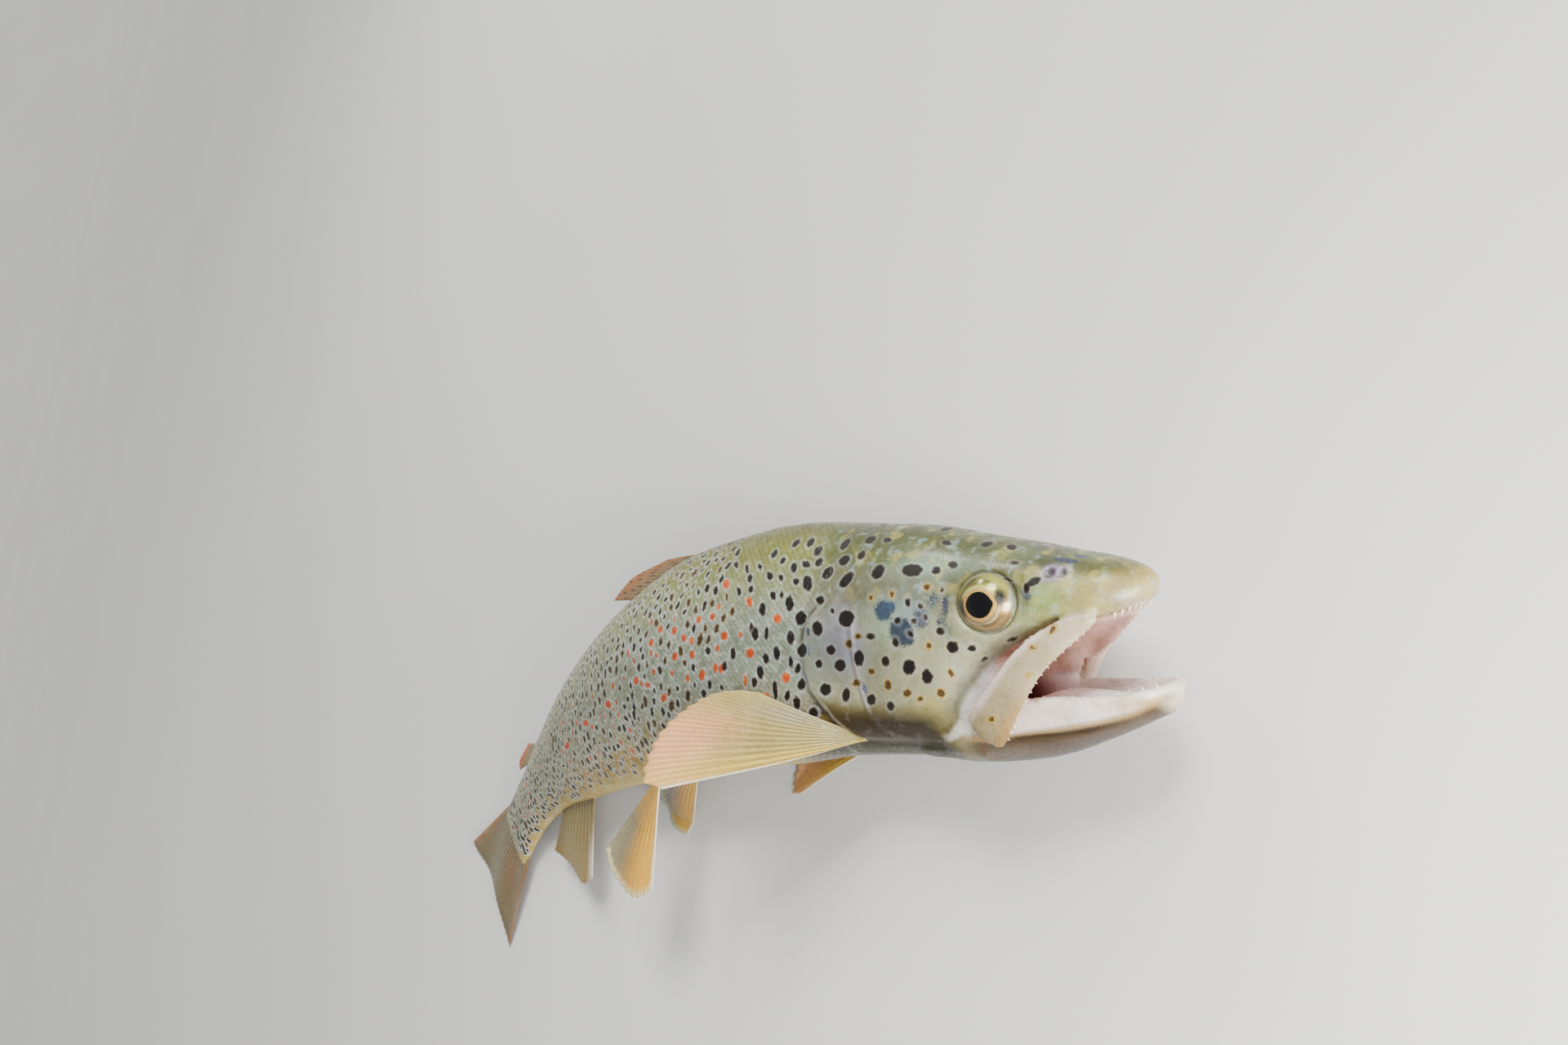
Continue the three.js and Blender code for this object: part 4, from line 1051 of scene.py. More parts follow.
def skin_tint(points, normals):
    """Colour of the whole skin, with painted shade under the cheek's fold and deep in the mouth, and how far
    each point belongs to the lining of the mouth.
    """
    s, y, w = points.T
    colour = vivid(trout_tint(points))
    inside = mouth_share(points, normals)
    colour = jaw_tint(colour, points, 1 - inside)
    share, along, side = maxilla_share(points)
    share = share * (1 - inside)
    wall = wall_share(points, inside) * (1 - share)
    membrane = layered(plain("dba08c", s), [
        ("efe0e6", smooth(35, 40, s)),
        ("c4b6dd", bump(40.5, 5, s) * bump(-17, 6, y) * 0.9),
        ("e8e2d2", smooth(46, 50, s))])
    colour = blend(colour, membrane, wall)
    blade = layered(plain("ac9f7c", s), [
        ("b7ad8e", 1 - smooth(0.1, 0.4, along)),
        ("8f7e54", smooth(0.5, 0.8, along) * 0.6),
        ("efd9cf", smooth(0.35, 0.85, side) * smooth(0.0, 0.4, along)),
        ("a58450", smooth(0.3, 0.8, -side) * smooth(0.4, 0.7, along) * 0.85),
        ("7d5a28", smooth(0.8, 0.98, -side) * smooth(0.3, 0.6, along) * 0.6)])
    inner = smooth(0.1, 0.5, -normals[:, 2] * np.sign(w))
    blade = mixed(blade, "efd2c6", inner * 0.95)
    colour = blend(colour, blade, share)
    gap, at = line_distance(s, y, CHEEK_EDGE)
    cheek = (1 - inside) * (1 - share) * (np.abs(w) > 8)
    # A pale rim along the cheek's fold, then a painted shadow line beside it.
    colour = layered(colour, [
        ("e6e4dc", bell(gap / 1.3) * cheek * 0.8 * smooth(0.3, 0.55, at)),
        ("8a8262", bell((gap - 1.9) / 0.7) * cheek * 0.5 * (1 - wall))])
    lining = layered(plain("b9958a", s), [
        ("a5796d", smooth(12, 26, s) * smooth(-14, -8, y)),
        ("e6b9aa", smooth(30, 42, s) * smooth(-21, -16, y)),
        # The red of the throat, darkened deep in the mouth as painted shade.
        ("6e322b", smooth(34, 45, s)),
        ("fdf8fb", (1 - smooth(-16.5, -14.5, y)) * (1 - smooth(28, 42, s)))])
    return blend(colour, lining, inside), inside


# ------------------------------------------------------------------------------------------
# Materials
# ------------------------------------------------------------------------------------------
class Nodes:
    """Short hands for a material's node tree."""

    def __init__(self, name):
        self.material = bpy.data.materials.new(name)
        self.material.use_nodes = True
        self.tree = self.material.node_tree
        self.shader = self.tree.nodes["Principled BSDF"]

    def put(self, kind, inputs=(), **settings):
        node = self.tree.nodes.new(kind)
        for key, value in settings.items():
            setattr(node, key, value)
        for key, value in dict(inputs).items():
            if isinstance(value, bpy.types.NodeSocket):
                self.tree.links.new(value, node.inputs[key])
            else:
                node.inputs[key].default_value = value
        return node

    def attribute(self, name, output="Fac"):
        return self.put("ShaderNodeAttribute", attribute_name=name).outputs[output]

    def math(self, operation, a, b):
        return self.put("ShaderNodeMath", {0: a, 1: b}, operation=operation).outputs[0]

    def times(self, a, b):
        return self.math("MULTIPLY", a, b)

    def plus(self, a, b):
        return self.math("ADD", a, b)

    def step(self, value, low, high, to_low=0.0, to_high=1.0):
        """to_low below low and to_high above high, with a smooth step between."""
        node = self.put("ShaderNodeMapRange", {"Value": value, "From Min": low, "From Max": high,
                                               "To Min": to_low, "To Max": to_high},
                        interpolation_type="SMOOTHSTEP")
        return node.outputs[0]

    def mix(self, share, a, b, how="MIX"):
        """Two colours mixed, each a socket, a triple or a hex code."""
        node = self.tree.nodes.new("ShaderNodeMix")
        node.data_type = "RGBA"
        node.blend_type = how
        for index, value in ((0, share), (6, a), (7, b)):
            if isinstance(value, bpy.types.NodeSocket):
                self.tree.links.new(value, node.inputs[index])
            elif isinstance(value, (float, int)):
                node.inputs[index].default_value = value
            else:
                node.inputs[index].default_value = (*(rgb(value) if isinstance(value, str) else value), 1)
        return node.outputs[2]

    def noise(self, vector, scale, detail=3.0, roughness=0.55, distortion=0.0):
        node = self.put("ShaderNodeTexNoise", {"Vector": vector, "Scale": scale, "Detail": detail,
                                               "Roughness": roughness, "Distortion": distortion})
        return node.outputs["Fac"]

    def cells(self, vector, scale):
        return self.put("ShaderNodeTexVoronoi", {"Vector": vector, "Scale": scale}).outputs["Distance"]

    def relief(self, height, strength, distance):
        return self.put("ShaderNodeBump", {"Height": height, "Strength": strength,
                                           "Distance": distance}).outputs[0]

    def shade(self, colour, normal, roughness, metallic=None, **constants):
        """The finished material. Constants are set on the shader's own sockets."""
        for socket, value in (("Base Color", colour), ("Normal", normal), ("Roughness", roughness),
                              ("Metallic", metallic)):
            if value is None:
                continue
            if isinstance(value, bpy.types.NodeSocket):
                self.tree.links.new(value, self.shader.inputs[socket])
            else:
                self.shader.inputs[socket].default_value = value
        for socket, value in constants.items():
            self.shader.inputs[socket.replace("_", " ")].default_value = value
        return self.material


def trout_material(name, scaled):
    """Wet skin with spots. The scales' version shades each scale's free edge."""
    n = Nodes(name)
    at = n.attribute("fish", "Vector")
    colour = n.attribute("tint", "Color")
    wobble = n.times(n.math("SUBTRACT", n.noise(at, 0.9, 2.0), 0.5), 1.1)
    broad = n.noise(at, 0.09, 3.0)
    colour = n.mix(n.step(broad, 0.4, 0.66, 0.0, 0.45), colour, (0.62, 0.6, 0.47), "MULTIPLY")
    cloud = n.noise(at, 0.26, 4.0, 0.6, 0.8)
    colour = n.mix(n.step(cloud, 0.36, 0.5, 0.5, 0.0), colour, (0.66, 0.66, 0.58), "MULTIPLY")
    colour = n.mix(n.times(n.step(cloud, 0.52, 0.72, 0.0, 0.25), n.attribute("halo")), colour,
                   (0.8, 0.82, 0.74))
    fine = n.noise(at, 1.6, 4.0, 0.7)
    colour = n.mix(n.step(fine, 0.42, 0.75, 0.0, 0.4), colour, (0.5, 0.5, 0.42), "MULTIPLY")
    colour = n.mix(n.times(n.step(n.noise(at, 0.22, 2.0), 0.52, 0.68, 0.0, 0.5), n.attribute("freckle")),
                   colour, "a9a04e")
    colour = n.mix(n.times(n.step(n.noise(at, 0.3, 3.0), 0.3, 0.46, 0.4, 0.0), n.attribute("freckle")),
                   colour, "9db8b4")
    stipple = n.noise(at, 2.4, 3.0, 0.7)
    patch = n.step(n.plus(n.attribute("blue"), n.times(n.math("SUBTRACT", stipple, 0.5), 0.9)),
                   0.3, 0.55, 0.0, 0.92)
    colour = n.mix(patch, colour, n.mix(n.step(stipple, 0.4, 0.65), n.attribute("blue_tint", "Color"),
                                        "20263a"))
    grain = n.cells(at, 2.6)
    dots = n.times(n.step(grain, 0.12, 0.26, 1.0, 0.0), n.attribute("dotted"))
    colour = n.mix(n.times(dots, n.step(n.noise(at, 0.35), 0.4, 0.62, 0.15, 0.75)), colour,
                   "4a4029")
    dark = n.plus(n.attribute("dark"), wobble)
    brown = n.plus(n.attribute("brown"), wobble)
    orange = n.plus(n.attribute("orange"), n.times(wobble, 0.6))
    nearest = n.math("MINIMUM", dark, n.math("MINIMUM", brown, orange))
    pale = n.times(n.step(nearest, 0.2, 1.35, 0.75, 0.0), n.attribute("halo"))
    colour = n.mix(pale, colour, "c3cfcc")
    behind = n.attribute("behind")
    ochre, rusty, umber = (n.mix(behind, front, rear) for front, rear in (
        ("ab8a30", "7c6228"), ("e0702c", "c4683a"), ("0c0502", "2c1c0c")))
    # A spot's rim, then its middle: distance field, where it is full and where it ends, strength, colour.
    for field, full, end, strength, tint in (
            (brown, 0.05, 0.5, 0.7, ochre), (brown, -0.4, 0.0, 0.9, "3a2109"),
            (orange, -0.1, 0.35, 0.95, rusty), (orange, -0.8, -0.3, 0.8, "d2400c"),
            (dark, -0.05, 0.25, 0.85, "3a200c"), (dark, -0.35, -0.05, 1.0, umber)):
        colour = n.mix(n.step(field, full, end, strength, 0.0), colour, tint)
    rough = n.plus(n.step(n.noise(at, 0.8, 2.0), 0.3, 0.7, 0.24, 0.4), n.step(dark, -0.3, 0.1, 0.22, 0.0))
    height = n.plus(n.noise(at, 1.1, 5.0, 0.65), n.times(n.cells(at, 1.5), 0.4))
    normal = n.relief(height, n.step(dark, -0.3, 0.2, 0.06, 0.26), 0.0005)
    metal = n.times(n.attribute("silver"), n.step(dark, -0.1, 0.3, 0.0, 1.0))
    if scaled:
        edge = n.attribute("edge")
        colour = n.mix(n.step(edge, 0.55, 1.0, 0.0, 0.3), colour, (0.35, 0.33, 0.26), "MULTIPLY")
        colour = n.mix(n.step(edge, 0.15, 0.5, 0.14, 0.0), colour, (0.8, 0.84, 0.84))
        each = n.attribute("each")
        colour = n.mix(n.step(each, 0.0, 1.0, 0.0, 0.32), colour, (0.62, 0.63, 0.55), "MULTIPLY")
        metal = n.times(metal, n.step(each, 0.0, 1.0, 0.7, 1.3))
    return n.shade(colour, normal, rough, metal, Coat_Weight=0.15 if scaled else 0.2, Coat_Roughness=0.14,
                   Coat_IOR=1.36, Specular_IOR_Level=0.6, IOR=1.42, Subsurface_Weight=0.06,
                   Subsurface_Scale=0.0015)


def flesh_material(name):
    """The wet tongue."""
    n = Nodes(name)
    at = n.attribute("fish", "Vector")
    colour = n.attribute("tint", "Color")
    veins = n.noise(at, 0.5, 5.0, 0.7, 1.5)
    colour = n.mix(n.step(veins, 0.48, 0.72, 0.0, 0.22), colour, "c4706a")
    colour = n.mix(n.step(n.cells(at, 1.4), 0.1, 0.5, 0.25, 0.0), colour, (0.9, 0.84, 0.8))
    height = n.plus(n.noise(at, 1.2, 4.0), n.times(n.cells(at, 1.68), 0.5))
    rough = n.step(n.noise(at, 1.2), 0.3, 0.7, 0.16, 0.34)
    return n.shade(colour, n.relief(height, 0.3, 0.0005), rough, Coat_Weight=0.6, Coat_Roughness=0.05,
                   Subsurface_Weight=0.25, Subsurface_Scale=0.002)


def fin_material(name):
    """Wet, slightly translucent fin."""
    n = Nodes(name)
    at = n.attribute("fish", "Vector")
    colour = n.attribute("tint", "Color")
    speck = n.noise(at, 1.1, 4.0, 0.7)
    colour = n.mix(n.step(speck, 0.45, 0.75, 0.0, 0.5), colour, (0.55, 0.5, 0.36), "MULTIPLY")
    blur = n.noise(at, 0.12, 2.0)
    colour = n.mix(n.step(blur, 0.35, 0.7, 0.0, 0.3), colour, (0.72, 0.66, 0.5), "MULTIPLY")
    height = n.plus(n.noise(at, 1.8, 3.0), n.times(n.attribute("ray"), 0.5))
    rough = n.step(n.noise(at, 0.7), 0.3, 0.7, 0.22, 0.42)
    return n.shade(colour, n.relief(height, 0.4, 0.0003), rough, Coat_Weight=0.5, Coat_Roughness=0.05,
                   Subsurface_Weight=0.3, Subsurface_Scale=0.003)


def eye_material(name):
    """A streaked iris under a clear wet coat."""
    n = Nodes(name)
    at = n.attribute("fish", "Vector")
    colour = n.attribute("tint", "Color")
    streak = n.noise(at, 2.6, 5.0, 0.75, 0.6)
    iris = n.attribute("iris")
    shade = n.times(n.step(streak, 0.4, 0.72, 0.0, 0.75), iris)
    colour = n.mix(shade, colour, (0.3, 0.24, 0.12), "MULTIPLY")
    glint = n.times(n.step(n.noise(at, 6.0, 3.0), 0.56, 0.72, 0.0, 0.4), iris)
    colour = n.mix(glint, colour, "d9c37a")
    return n.shade(colour, None, 0.25, n.times(iris, 0.35), Coat_Weight=0.75, Coat_Roughness=0.01,
                   Coat_IOR=1.4, Specular_IOR_Level=0.35)


def tooth_material(name):
    """Ivory with faint stains."""
    n = Nodes(name)
    at = n.attribute("fish", "Vector")
    stain = n.noise(at, 1.5, 3.0)
    colour = n.mix(n.step(stain, 0.4, 0.7), "f4eee0", "d8c8a6")
    return n.shade(colour, n.relief(n.noise(at, 6.0), 0.1, 0.0001), n.step(stain, 0.3, 0.7, 0.15, 0.3),
                   Coat_Weight=0.5, Coat_Roughness=0.05, Subsurface_Weight=0.3, Subsurface_Scale=0.001)


# ------------------------------------------------------------------------------------------
# Finishing the skin
# ------------------------------------------------------------------------------------------
def freckles(points):
    """Where fine dark pigment dots lie thickly: snout, brow, cheeks and back."""
    s, y, _ = points.T
    height = height_at(s, y)
    amount = 0.9 * (1 - smooth(70, 100, s)) * smooth(-0.1, 0.6, height)
    amount += 0.5 * (1 - smooth(40, 60, s))
    return np.clip(amount + 0.35 * smooth(0.6, 0.95, height), 0, 1)


def silver(points):
    """How metallic the skin is: most on the flank and the gill cover."""
    s, y, _ = points.T
    height = height_at(s, y)
    amount = 0.42 * bump(-0.1, 0.8, height) * smooth(46, 70, s)
    return amount + 0.3 * bump(80, 18, s) * bump(-3, 14, y)


def paint_trout(made, points, tint, outside, dotted=0, marked=None):
    """Attributes for the trout materials. outside: where the skin has markings. marked: where it has spots."""
    marked = outside if marked is None else marked
    add_vector(made, "fish", points)
    add_colour(made, "tint", tint)
    for kind in ("dark", "orange", "brown"):
        field = spot_field(points, placed_all[kind])
        add_value(made, kind, field + (FAR - field) * (1 - marked))
    s, y, _ = points.T
    halo = 0.2 + 0.35 * smooth(76, 100, s) + 0.45 * smooth(110, 160, s)
    add_value(made, "halo", halo * (1 - 0.6 * smooth(0.6, 0.95, height_at(s, y))) * outside)
    add_value(made, "behind", smooth(96, 180, s))
    strength, colour = blue_share(points)
    add_value(made, "blue", strength * outside)
    add_colour(made, "blue_tint", colour)
    add_value(made, "freckle", freckles(points) * outside)
    add_value(made, "dotted", np.maximum(freckles(points) * outside, dotted))
    add_value(made, "silver", silver(points) * outside)


skin_colour, skin_inside = skin_tint(straight, straight_normals)
blade_share, blade_along, _ = maxilla_share(straight)
on_jaw = (straight[:, 0] < 52) & (straight[:, 1] < rim_at(straight[:, 0]) + 1)
unmarked = np.maximum(np.maximum(skin_inside, blade_share), on_jaw.astype(float))
marked = (1 - skin_inside) * (1 - on_jaw * (1 - blade_share))
paint_trout(skin, straight, skin_colour, 1 - unmarked,
            dotted=blade_share * smooth(0.3, 0.7, blade_along) * 0.9, marked=marked)
skin.data.materials.clear()
skin.data.materials.append(trout_material("trout_wet_skin", scaled=False))
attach(skin, "root")
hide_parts("head", "lower_jaw", "throat", "maxilla_right", "maxilla_left", "gill_cover_right",
            "gill_cover_left", "trunk_front", "trunk_rear", "tail")

# ------------------------------------------------------------------------------------------
# Scales: thin overlapping plates in rows along the body
# ------------------------------------------------------------------------------------------
ROW_PITCH, ALONG_PITCH = 1.32, 2.3
SCALE_LENGTH, SCALE_HALF_WIDTH = 3.5, 1.42
ACROSS, ALONG = 6, 5
FIRST_STATION = 70


def arc_table():
    """For stations along the body, the distance round the skin from the middle of the flank to each angle."""
    stations = np.arange(FIRST_STATION, 346, 1.0)
    turns = np.linspace(-np.pi / 2, np.pi / 2, 181)
    grid_s, grid_turn = np.meshgrid(stations, turns, indexing="ij")
    p = flank_point(grid_s, grid_turn)
    step = np.linalg.norm(np.diff(p, axis=1), axis=2)
    arc = np.concatenate([np.zeros((len(stations), 1)), np.cumsum(step, axis=1)], axis=1)
    return stations, turns, arc - arc[:, 90:91]


TURN_STEP = 0.01  # a small angle round the body, to measure directions and distances by


def scale_roots():
    """Root places as (s, angle, distance round from the middle of the flank, size)."""
    stations, turns, arc = arc_table()
    roots = []
    s, parity = 74.0, 0
    while s < 339:
        size = float(1 - 0.3 * smooth(180, 335, s))
        at = int(np.clip(round(s - FIRST_STATION), 0, len(stations) - 1))
        pitch = 2 * ROW_PITCH * size
        lowest, highest = arc[at, 0], arc[at, -1]
        k = np.arange(math.ceil(lowest / pitch) - 1, math.floor(highest / pitch) + 2)
        t = (k + 0.5 * parity) * pitch
        t = t[(t > lowest - 0.3) & (t < highest + 0.3)]
        t = t + rng.normal(0, 0.05, len(t))
        where = s + rng.normal(0, 0.06, len(t))
        turn = np.interp(t, arc[at], turns)
        roots.append(np.stack([where, turn, t, np.full(len(t), size)], 1))
        s += ALONG_PITCH / 2 * size
        parity = 1 - parity
    return np.vstack(roots)


def scale_start(s, turn):
    """Where scales begin: under the gill cover's edge, along the nape and at the throat."""
    y = flank_point(s, turn)[..., 1]
    start = np.where(y > 11, np.minimum(84 + 0.3 * np.maximum(0, y - 18) + 1.5 * np.sin(turn * 9), 90),
                     cover_rear_at(y) - 3.5)
    return np.where(y < -28, 93 + 1.5 * np.sin(turn * 7), start)


def scale_free(roots):
    """Which roots have room: behind the start of the scales and before the tail fin."""
    s, turn = roots[:, 0], roots[:, 1]
    last = 335.5 + 3.4 * np.abs(np.sin(turn)) ** 3 + 0.8 * np.sin(turn * 13)
    return (s > scale_start(s, turn)) & (s < last)


def scale_mesh(name, roots, side):
    """All the scales of one region as one mesh."""
    aa, bb = np.meshgrid(np.linspace(-1, 1, ACROSS), np.linspace(0, 1, ALONG) ** 0.8, indexing="ij")
    aa, bb = aa.ravel(), bb.ravel()
    half = np.sqrt(np.clip(1 - np.clip((bb - 0.45) / 0.55, 0, 1) ** 2.4, 0, 1))
    tip = 1 - 0.34 * np.abs(aa) ** 2.2
    along = bb * tip
    across = aa * (0.55 + 0.45 * np.clip(bb / 0.35, 0, 1)) * np.maximum(half, 0.62)
    count = len(roots)
    size = roots[:, 3:4]
    jitter = rng.normal(0, 1, (count, 3))
    s = roots[:, :1] + (along * SCALE_LENGTH)[None] * size * (1 + 0.03 * jitter[:, :1])
    sideways = (across * SCALE_HALF_WIDTH)[None] * size
    sideways = sideways + 0.05 * jitter[:, 1:2] * (along * SCALE_LENGTH)[None]
    here = flank_point(roots[:, 0], roots[:, 1])
    there = flank_point(roots[:, 0], roots[:, 1] + TURN_STEP)
    per_turn = np.linalg.norm(there - here, axis=1)[:, None] / TURN_STEP
    flat_s, flat_turn = s.ravel(), (roots[:, 1:2] + sideways / per_turn).ravel()
    base = flank_point(flat_s, flat_turn)
    further = flank_point(flat_s + 0.3, flat_turn)
    round_it = flank_point(flat_s, flat_turn + TURN_STEP)
    for p in (base, further, round_it):
        p[:, 2] *= side
    p0, p1, p2 = pose(base), pose(further), pose(round_it)
    normal = np.cross(p1 - p0, p2 - p0) * side
    normal /= np.linalg.norm(normal, axis=1)[:, None]
    middle = pose(np.stack([flat_s, np.zeros_like(flat_s), np.zeros_like(flat_s)], 1))
    flip = np.einsum("ij,ij->i", normal, p0 - middle) < 0
    normal[flip] *= -1
    lift = -0.12 + 0.42 * bb**1.1 - 0.16 * aa**2 * bb - 0.05 * np.clip((bb - 0.85) / 0.15, 0, 1)
    grown = 0.3 + 0.7 * smooth(0, 12, roots[:, :1] - scale_start(roots[:, :1], roots[:, 1:2]))
    lift = (lift[None] * size * grown * (1 + 0.12 * jitter[:, 2:3])).ravel()
    points = rest(p0 + normal * lift[:, None] * MM, lowest=0.02)
    cell = grid_faces(ACROSS, ALONG)
    if side > 0:
        cell = cell[:, ::-1]
    quads = (cell[None] + (np.arange(count) * ACROSS * ALONG)[:, None, None]).reshape(-1, 4)
    made = quad_object(name, points, quads)
    paint_trout(made, base, vivid(trout_tint(base)), np.ones(len(base)))
    reach = bb * (0.75 + 0.25 * (1 - aa**2)) + 0.15 * aa**2
    add_value(made, "edge", np.tile(reach, count))
    add_value(made, "each", np.repeat(rng.random(count), len(aa)))
    # Each scale has a small patch of its own in the map, laid out as the fish is.
    u = 0.02 + 0.95 * (roots[:, 0] - 60) / 290
    v = 0.25 + 0.22 * roots[:, 2] / 66 + (0.5 if side < 0 else 0)
    uv_u = (u[:, None] + 0.003 * (bb[None] - 0.5)).ravel()
    uv_v = (v[:, None] + 0.0015 * aa[None]).ravel()
    layer = made.data.uv_layers.new(name="OFBake")
    loops = quads.ravel()
    layer.data.foreach_set("uv", np.stack([uv_u[loops], uv_v[loops]], 1).astype(np.float32).ravel())
    return made


scale_material = trout_material("trout_scales", scaled=True)
roots = scale_roots()
roots = roots[scale_free(roots)]
CUTS = (0, 145, 205, 400)  # the scales of a side are joined to three pieces, between these stations
SCALE_NODES = {0: ("trunk_front",), 1: ("trunk_front", "trunk_rear"), 2: ("trunk_rear", "tail")}
for side, label in ((1, "right"), (-1, "left")):
    for part, (low_s, high_s) in enumerate(zip(CUTS[:-1], CUTS[1:])):
        chosen = roots[(roots[:, 0] >= low_s) & (roots[:, 0] < high_s)]
        piece = scale_mesh(f"scales_{label}_{part + 1}", chosen, side)
        piece.data.materials.append(scale_material)
        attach(piece, "root")
        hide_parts(*SCALE_NODES[part])

# ------------------------------------------------------------------------------------------
# Fins
# ------------------------------------------------------------------------------------------
FINS = {
    "dorsal_fin": {
        "root": [(149, 35, 0), (197, 31, 0)], "back": (1, 0, 0), "across": (0, 1, 0), "angles": (13, 24),
        "lengths": [(0, 36), (0.35, 37), (0.7, 31), (1, 26)],
        "thickness": (1.5, 0.45), "belly": 0, "rays": 13},
    "adipose_fin": {
        "root": [(298, 17, 0), (309, 15.6, 0)], "back": (1, 0, 0), "across": (0, 1, 0), "angles": (38, 22),
        "lengths": [(0, 15), (0.5, 17), (1, 15)], "thickness": (2.0, 0.7), "belly": 0, "rays": 0},
    "anal_fin": {
        "root": [(259, -25.5, 0), (292, -17.5, 0)], "back": (1, 0, 0), "across": (0, -1, 0),
        "angles": (58, 30), "lengths": [(0, 33), (0.2, 36), (0.6, 28), (1, 21)],
        "thickness": (1.5, 0.45), "belly": 0, "rays": 11},
    "pelvic_fin_right": {
        "root": [(184, -33.5, 8.5), (193, -34.5, 3.5)], "back": (0.5, -0.83, 0.25),
        "across": (-0.62, -0.53, -0.58), "angles": (20, -17),
        "lengths": [(0, 40), (0.3, 44), (0.7, 40), (1, 33)], "thickness": (1.5, 0.45), "belly": 3, "rays": 9},
    "pelvic_fin_left": {
        "root": [(184, -33.5, -8), (193, -34, -3.5)], "back": (0.96, -0.12, -0.26),
        "across": (-0.14, -0.97, -0.2), "angles": (22, -8),
        "lengths": [(0, 41), (0.3, 44), (0.7, 39), (1, 31)], "thickness": (1.5, 0.45), "belly": 0, "rays": 9},
    "pectoral_fin_right": {
        "root": [(89, -30, 12.4), (89, -25.6, 13.8)], "back": (0.866, 0, 0.5), "across": (0, 1, 0),
        "angles": (-13.5, 24), "lengths": [(0, 56), (0.08, 62), (0.3, 58), (0.6, 47), (0.85, 36), (1, 26)],
        "thickness": (1.6, 0.4), "belly": -2, "rays": 13},
    "pectoral_fin_left": {
        "root": [(89, -30, -12.4), (89, -25.6, -13.8)], "back": (0.98, -0.1, -0.17),
        "across": (0.08, 0.97, -0.22), "angles": (-12, 16),
        "lengths": [(0, 55), (0.08, 61), (0.3, 57), (0.6, 45), (0.85, 35), (1, 25)],
        "thickness": (1.6, 0.4), "belly": 0, "rays": 13},
}
FIN_ROOT_SINK = 5
fin_look = fin_material("fin_membrane")
FIN_COLOURS = {"pectoral": "a99a5c", "pelvic": "c0933c", "anal": "8d7d3c", "dorsal": "8f7d5a",
               "adipose": "7d7247", "caudal": "6f6343"}


def fin_tint(name, u, v, ridge):
    """Colour over a fin: u from root to edge, v from its front to its rear ray."""
    kind = name.split("_")[0]
    colour = plain(FIN_COLOURS[kind], u)
    if kind == "pectoral":
        colour = layered(colour, [
            ("8f8448", (1 - smooth(0.0, 0.35, u)) * 0.8),
            ("aaa78c", smooth(0.5, 0.85, v) * bump(0.5, 0.45, u) * 0.7),
            ("eaa87c", smooth(0.5, 0.85, u) * (1 - smooth(0.4, 0.8, v)) * 0.85),
            ("d2b446", (1 - smooth(0.05, 0.3, v)) * (1 - 0.6 * smooth(0.6, 1, u)) * 0.8),
            # A painted highlight along the wet leading edge.
            ("f4eedc", (1 - smooth(0, 0.03, v)) * 0.9)])
    if kind == "pelvic":
        colour = layered(colour, [
            ("f0b83c", (1 - smooth(0.15, 0.5, v)) * smooth(0.1, 0.4, u) * 0.8),
            ("647466", smooth(0.35, 0.75, v) * smooth(0.3, 0.6, u) * 0.85),
            ("e6dfa8", smooth(0.93, 1, u) * 0.85),
            # A pale leading edge, brightened as a painted highlight.
            ("f2ead6", (1 - smooth(0, 0.07, v)) * 0.8)])
    if kind == "anal":
        colour = layered(colour, [
            ("ded8c4", (1 - smooth(0, 0.14, v)) * smooth(0.35, 0.8, u)),
            ("5f4a2a", smooth(0.6, 1, v) * 0.6)])
    if kind == "dorsal":
        colour = layered(colour, [
            ("b3703f", smooth(0.55, 0.95, u) * 0.7),
            ("a07f68", (1 - smooth(0, 0.3, u)) * 0.5)])
        dots = np.sin(u * 21 + 3 * np.sin(v * 9)) * np.sin(v * 40 + 2 * np.sin(u * 7))
        colour = mixed(colour, "3c2c1c", smooth(0.45, 0.75, dots) * smooth(0.1, 0.3, u) * 0.8)
    if kind == "adipose":
        colour = layered(colour, [
            ("b8592c", smooth(0.62, 0.95, u) * 0.95),
            ("3d3020", bump(0.35, 0.18, u) * bump(0.5, 0.3, v) * 0.7)])
    if kind == "caudal":
        colour = layered(colour, [
            ("94917a", (1 - smooth(0.02, 0.22, u)) * 0.8),
            ("8a5434", bump(0.45, 0.4, u) * bump(0.3, 0.3, v) * 0.45),
            ("a4672f", (1 - smooth(0, 0.07, v)) * 0.8),
            ("a4672f", smooth(0.94, 1, v) * 0.6),
            ("4f4530", smooth(0.85, 1, u) * 0.5)])
    between = (1 - ridge) * smooth(0.02, 0.15, u) * (1 - 0.5 * smooth(0.5, 1, u))
    return mixed(colour, "5a4a26", 0.62 * between)


def ray_height(v, u, rays):
    """Ridges over the rays, which split towards the edge."""
    if rays == 0:
        return np.ones_like(u)
    one = np.abs(np.cos(np.pi * rays * v)) ** 1.6
    two = np.abs(np.cos(2 * np.pi * rays * v)) ** 1.4
    split = smooth(0.45, 0.85, u)
    joints = 1 - 0.12 * (np.cos(u * 150) > 0.82) * smooth(0.25, 0.4, u)
    return (one * (1 - split) + two * split) * joints


NUDGE = 0.004


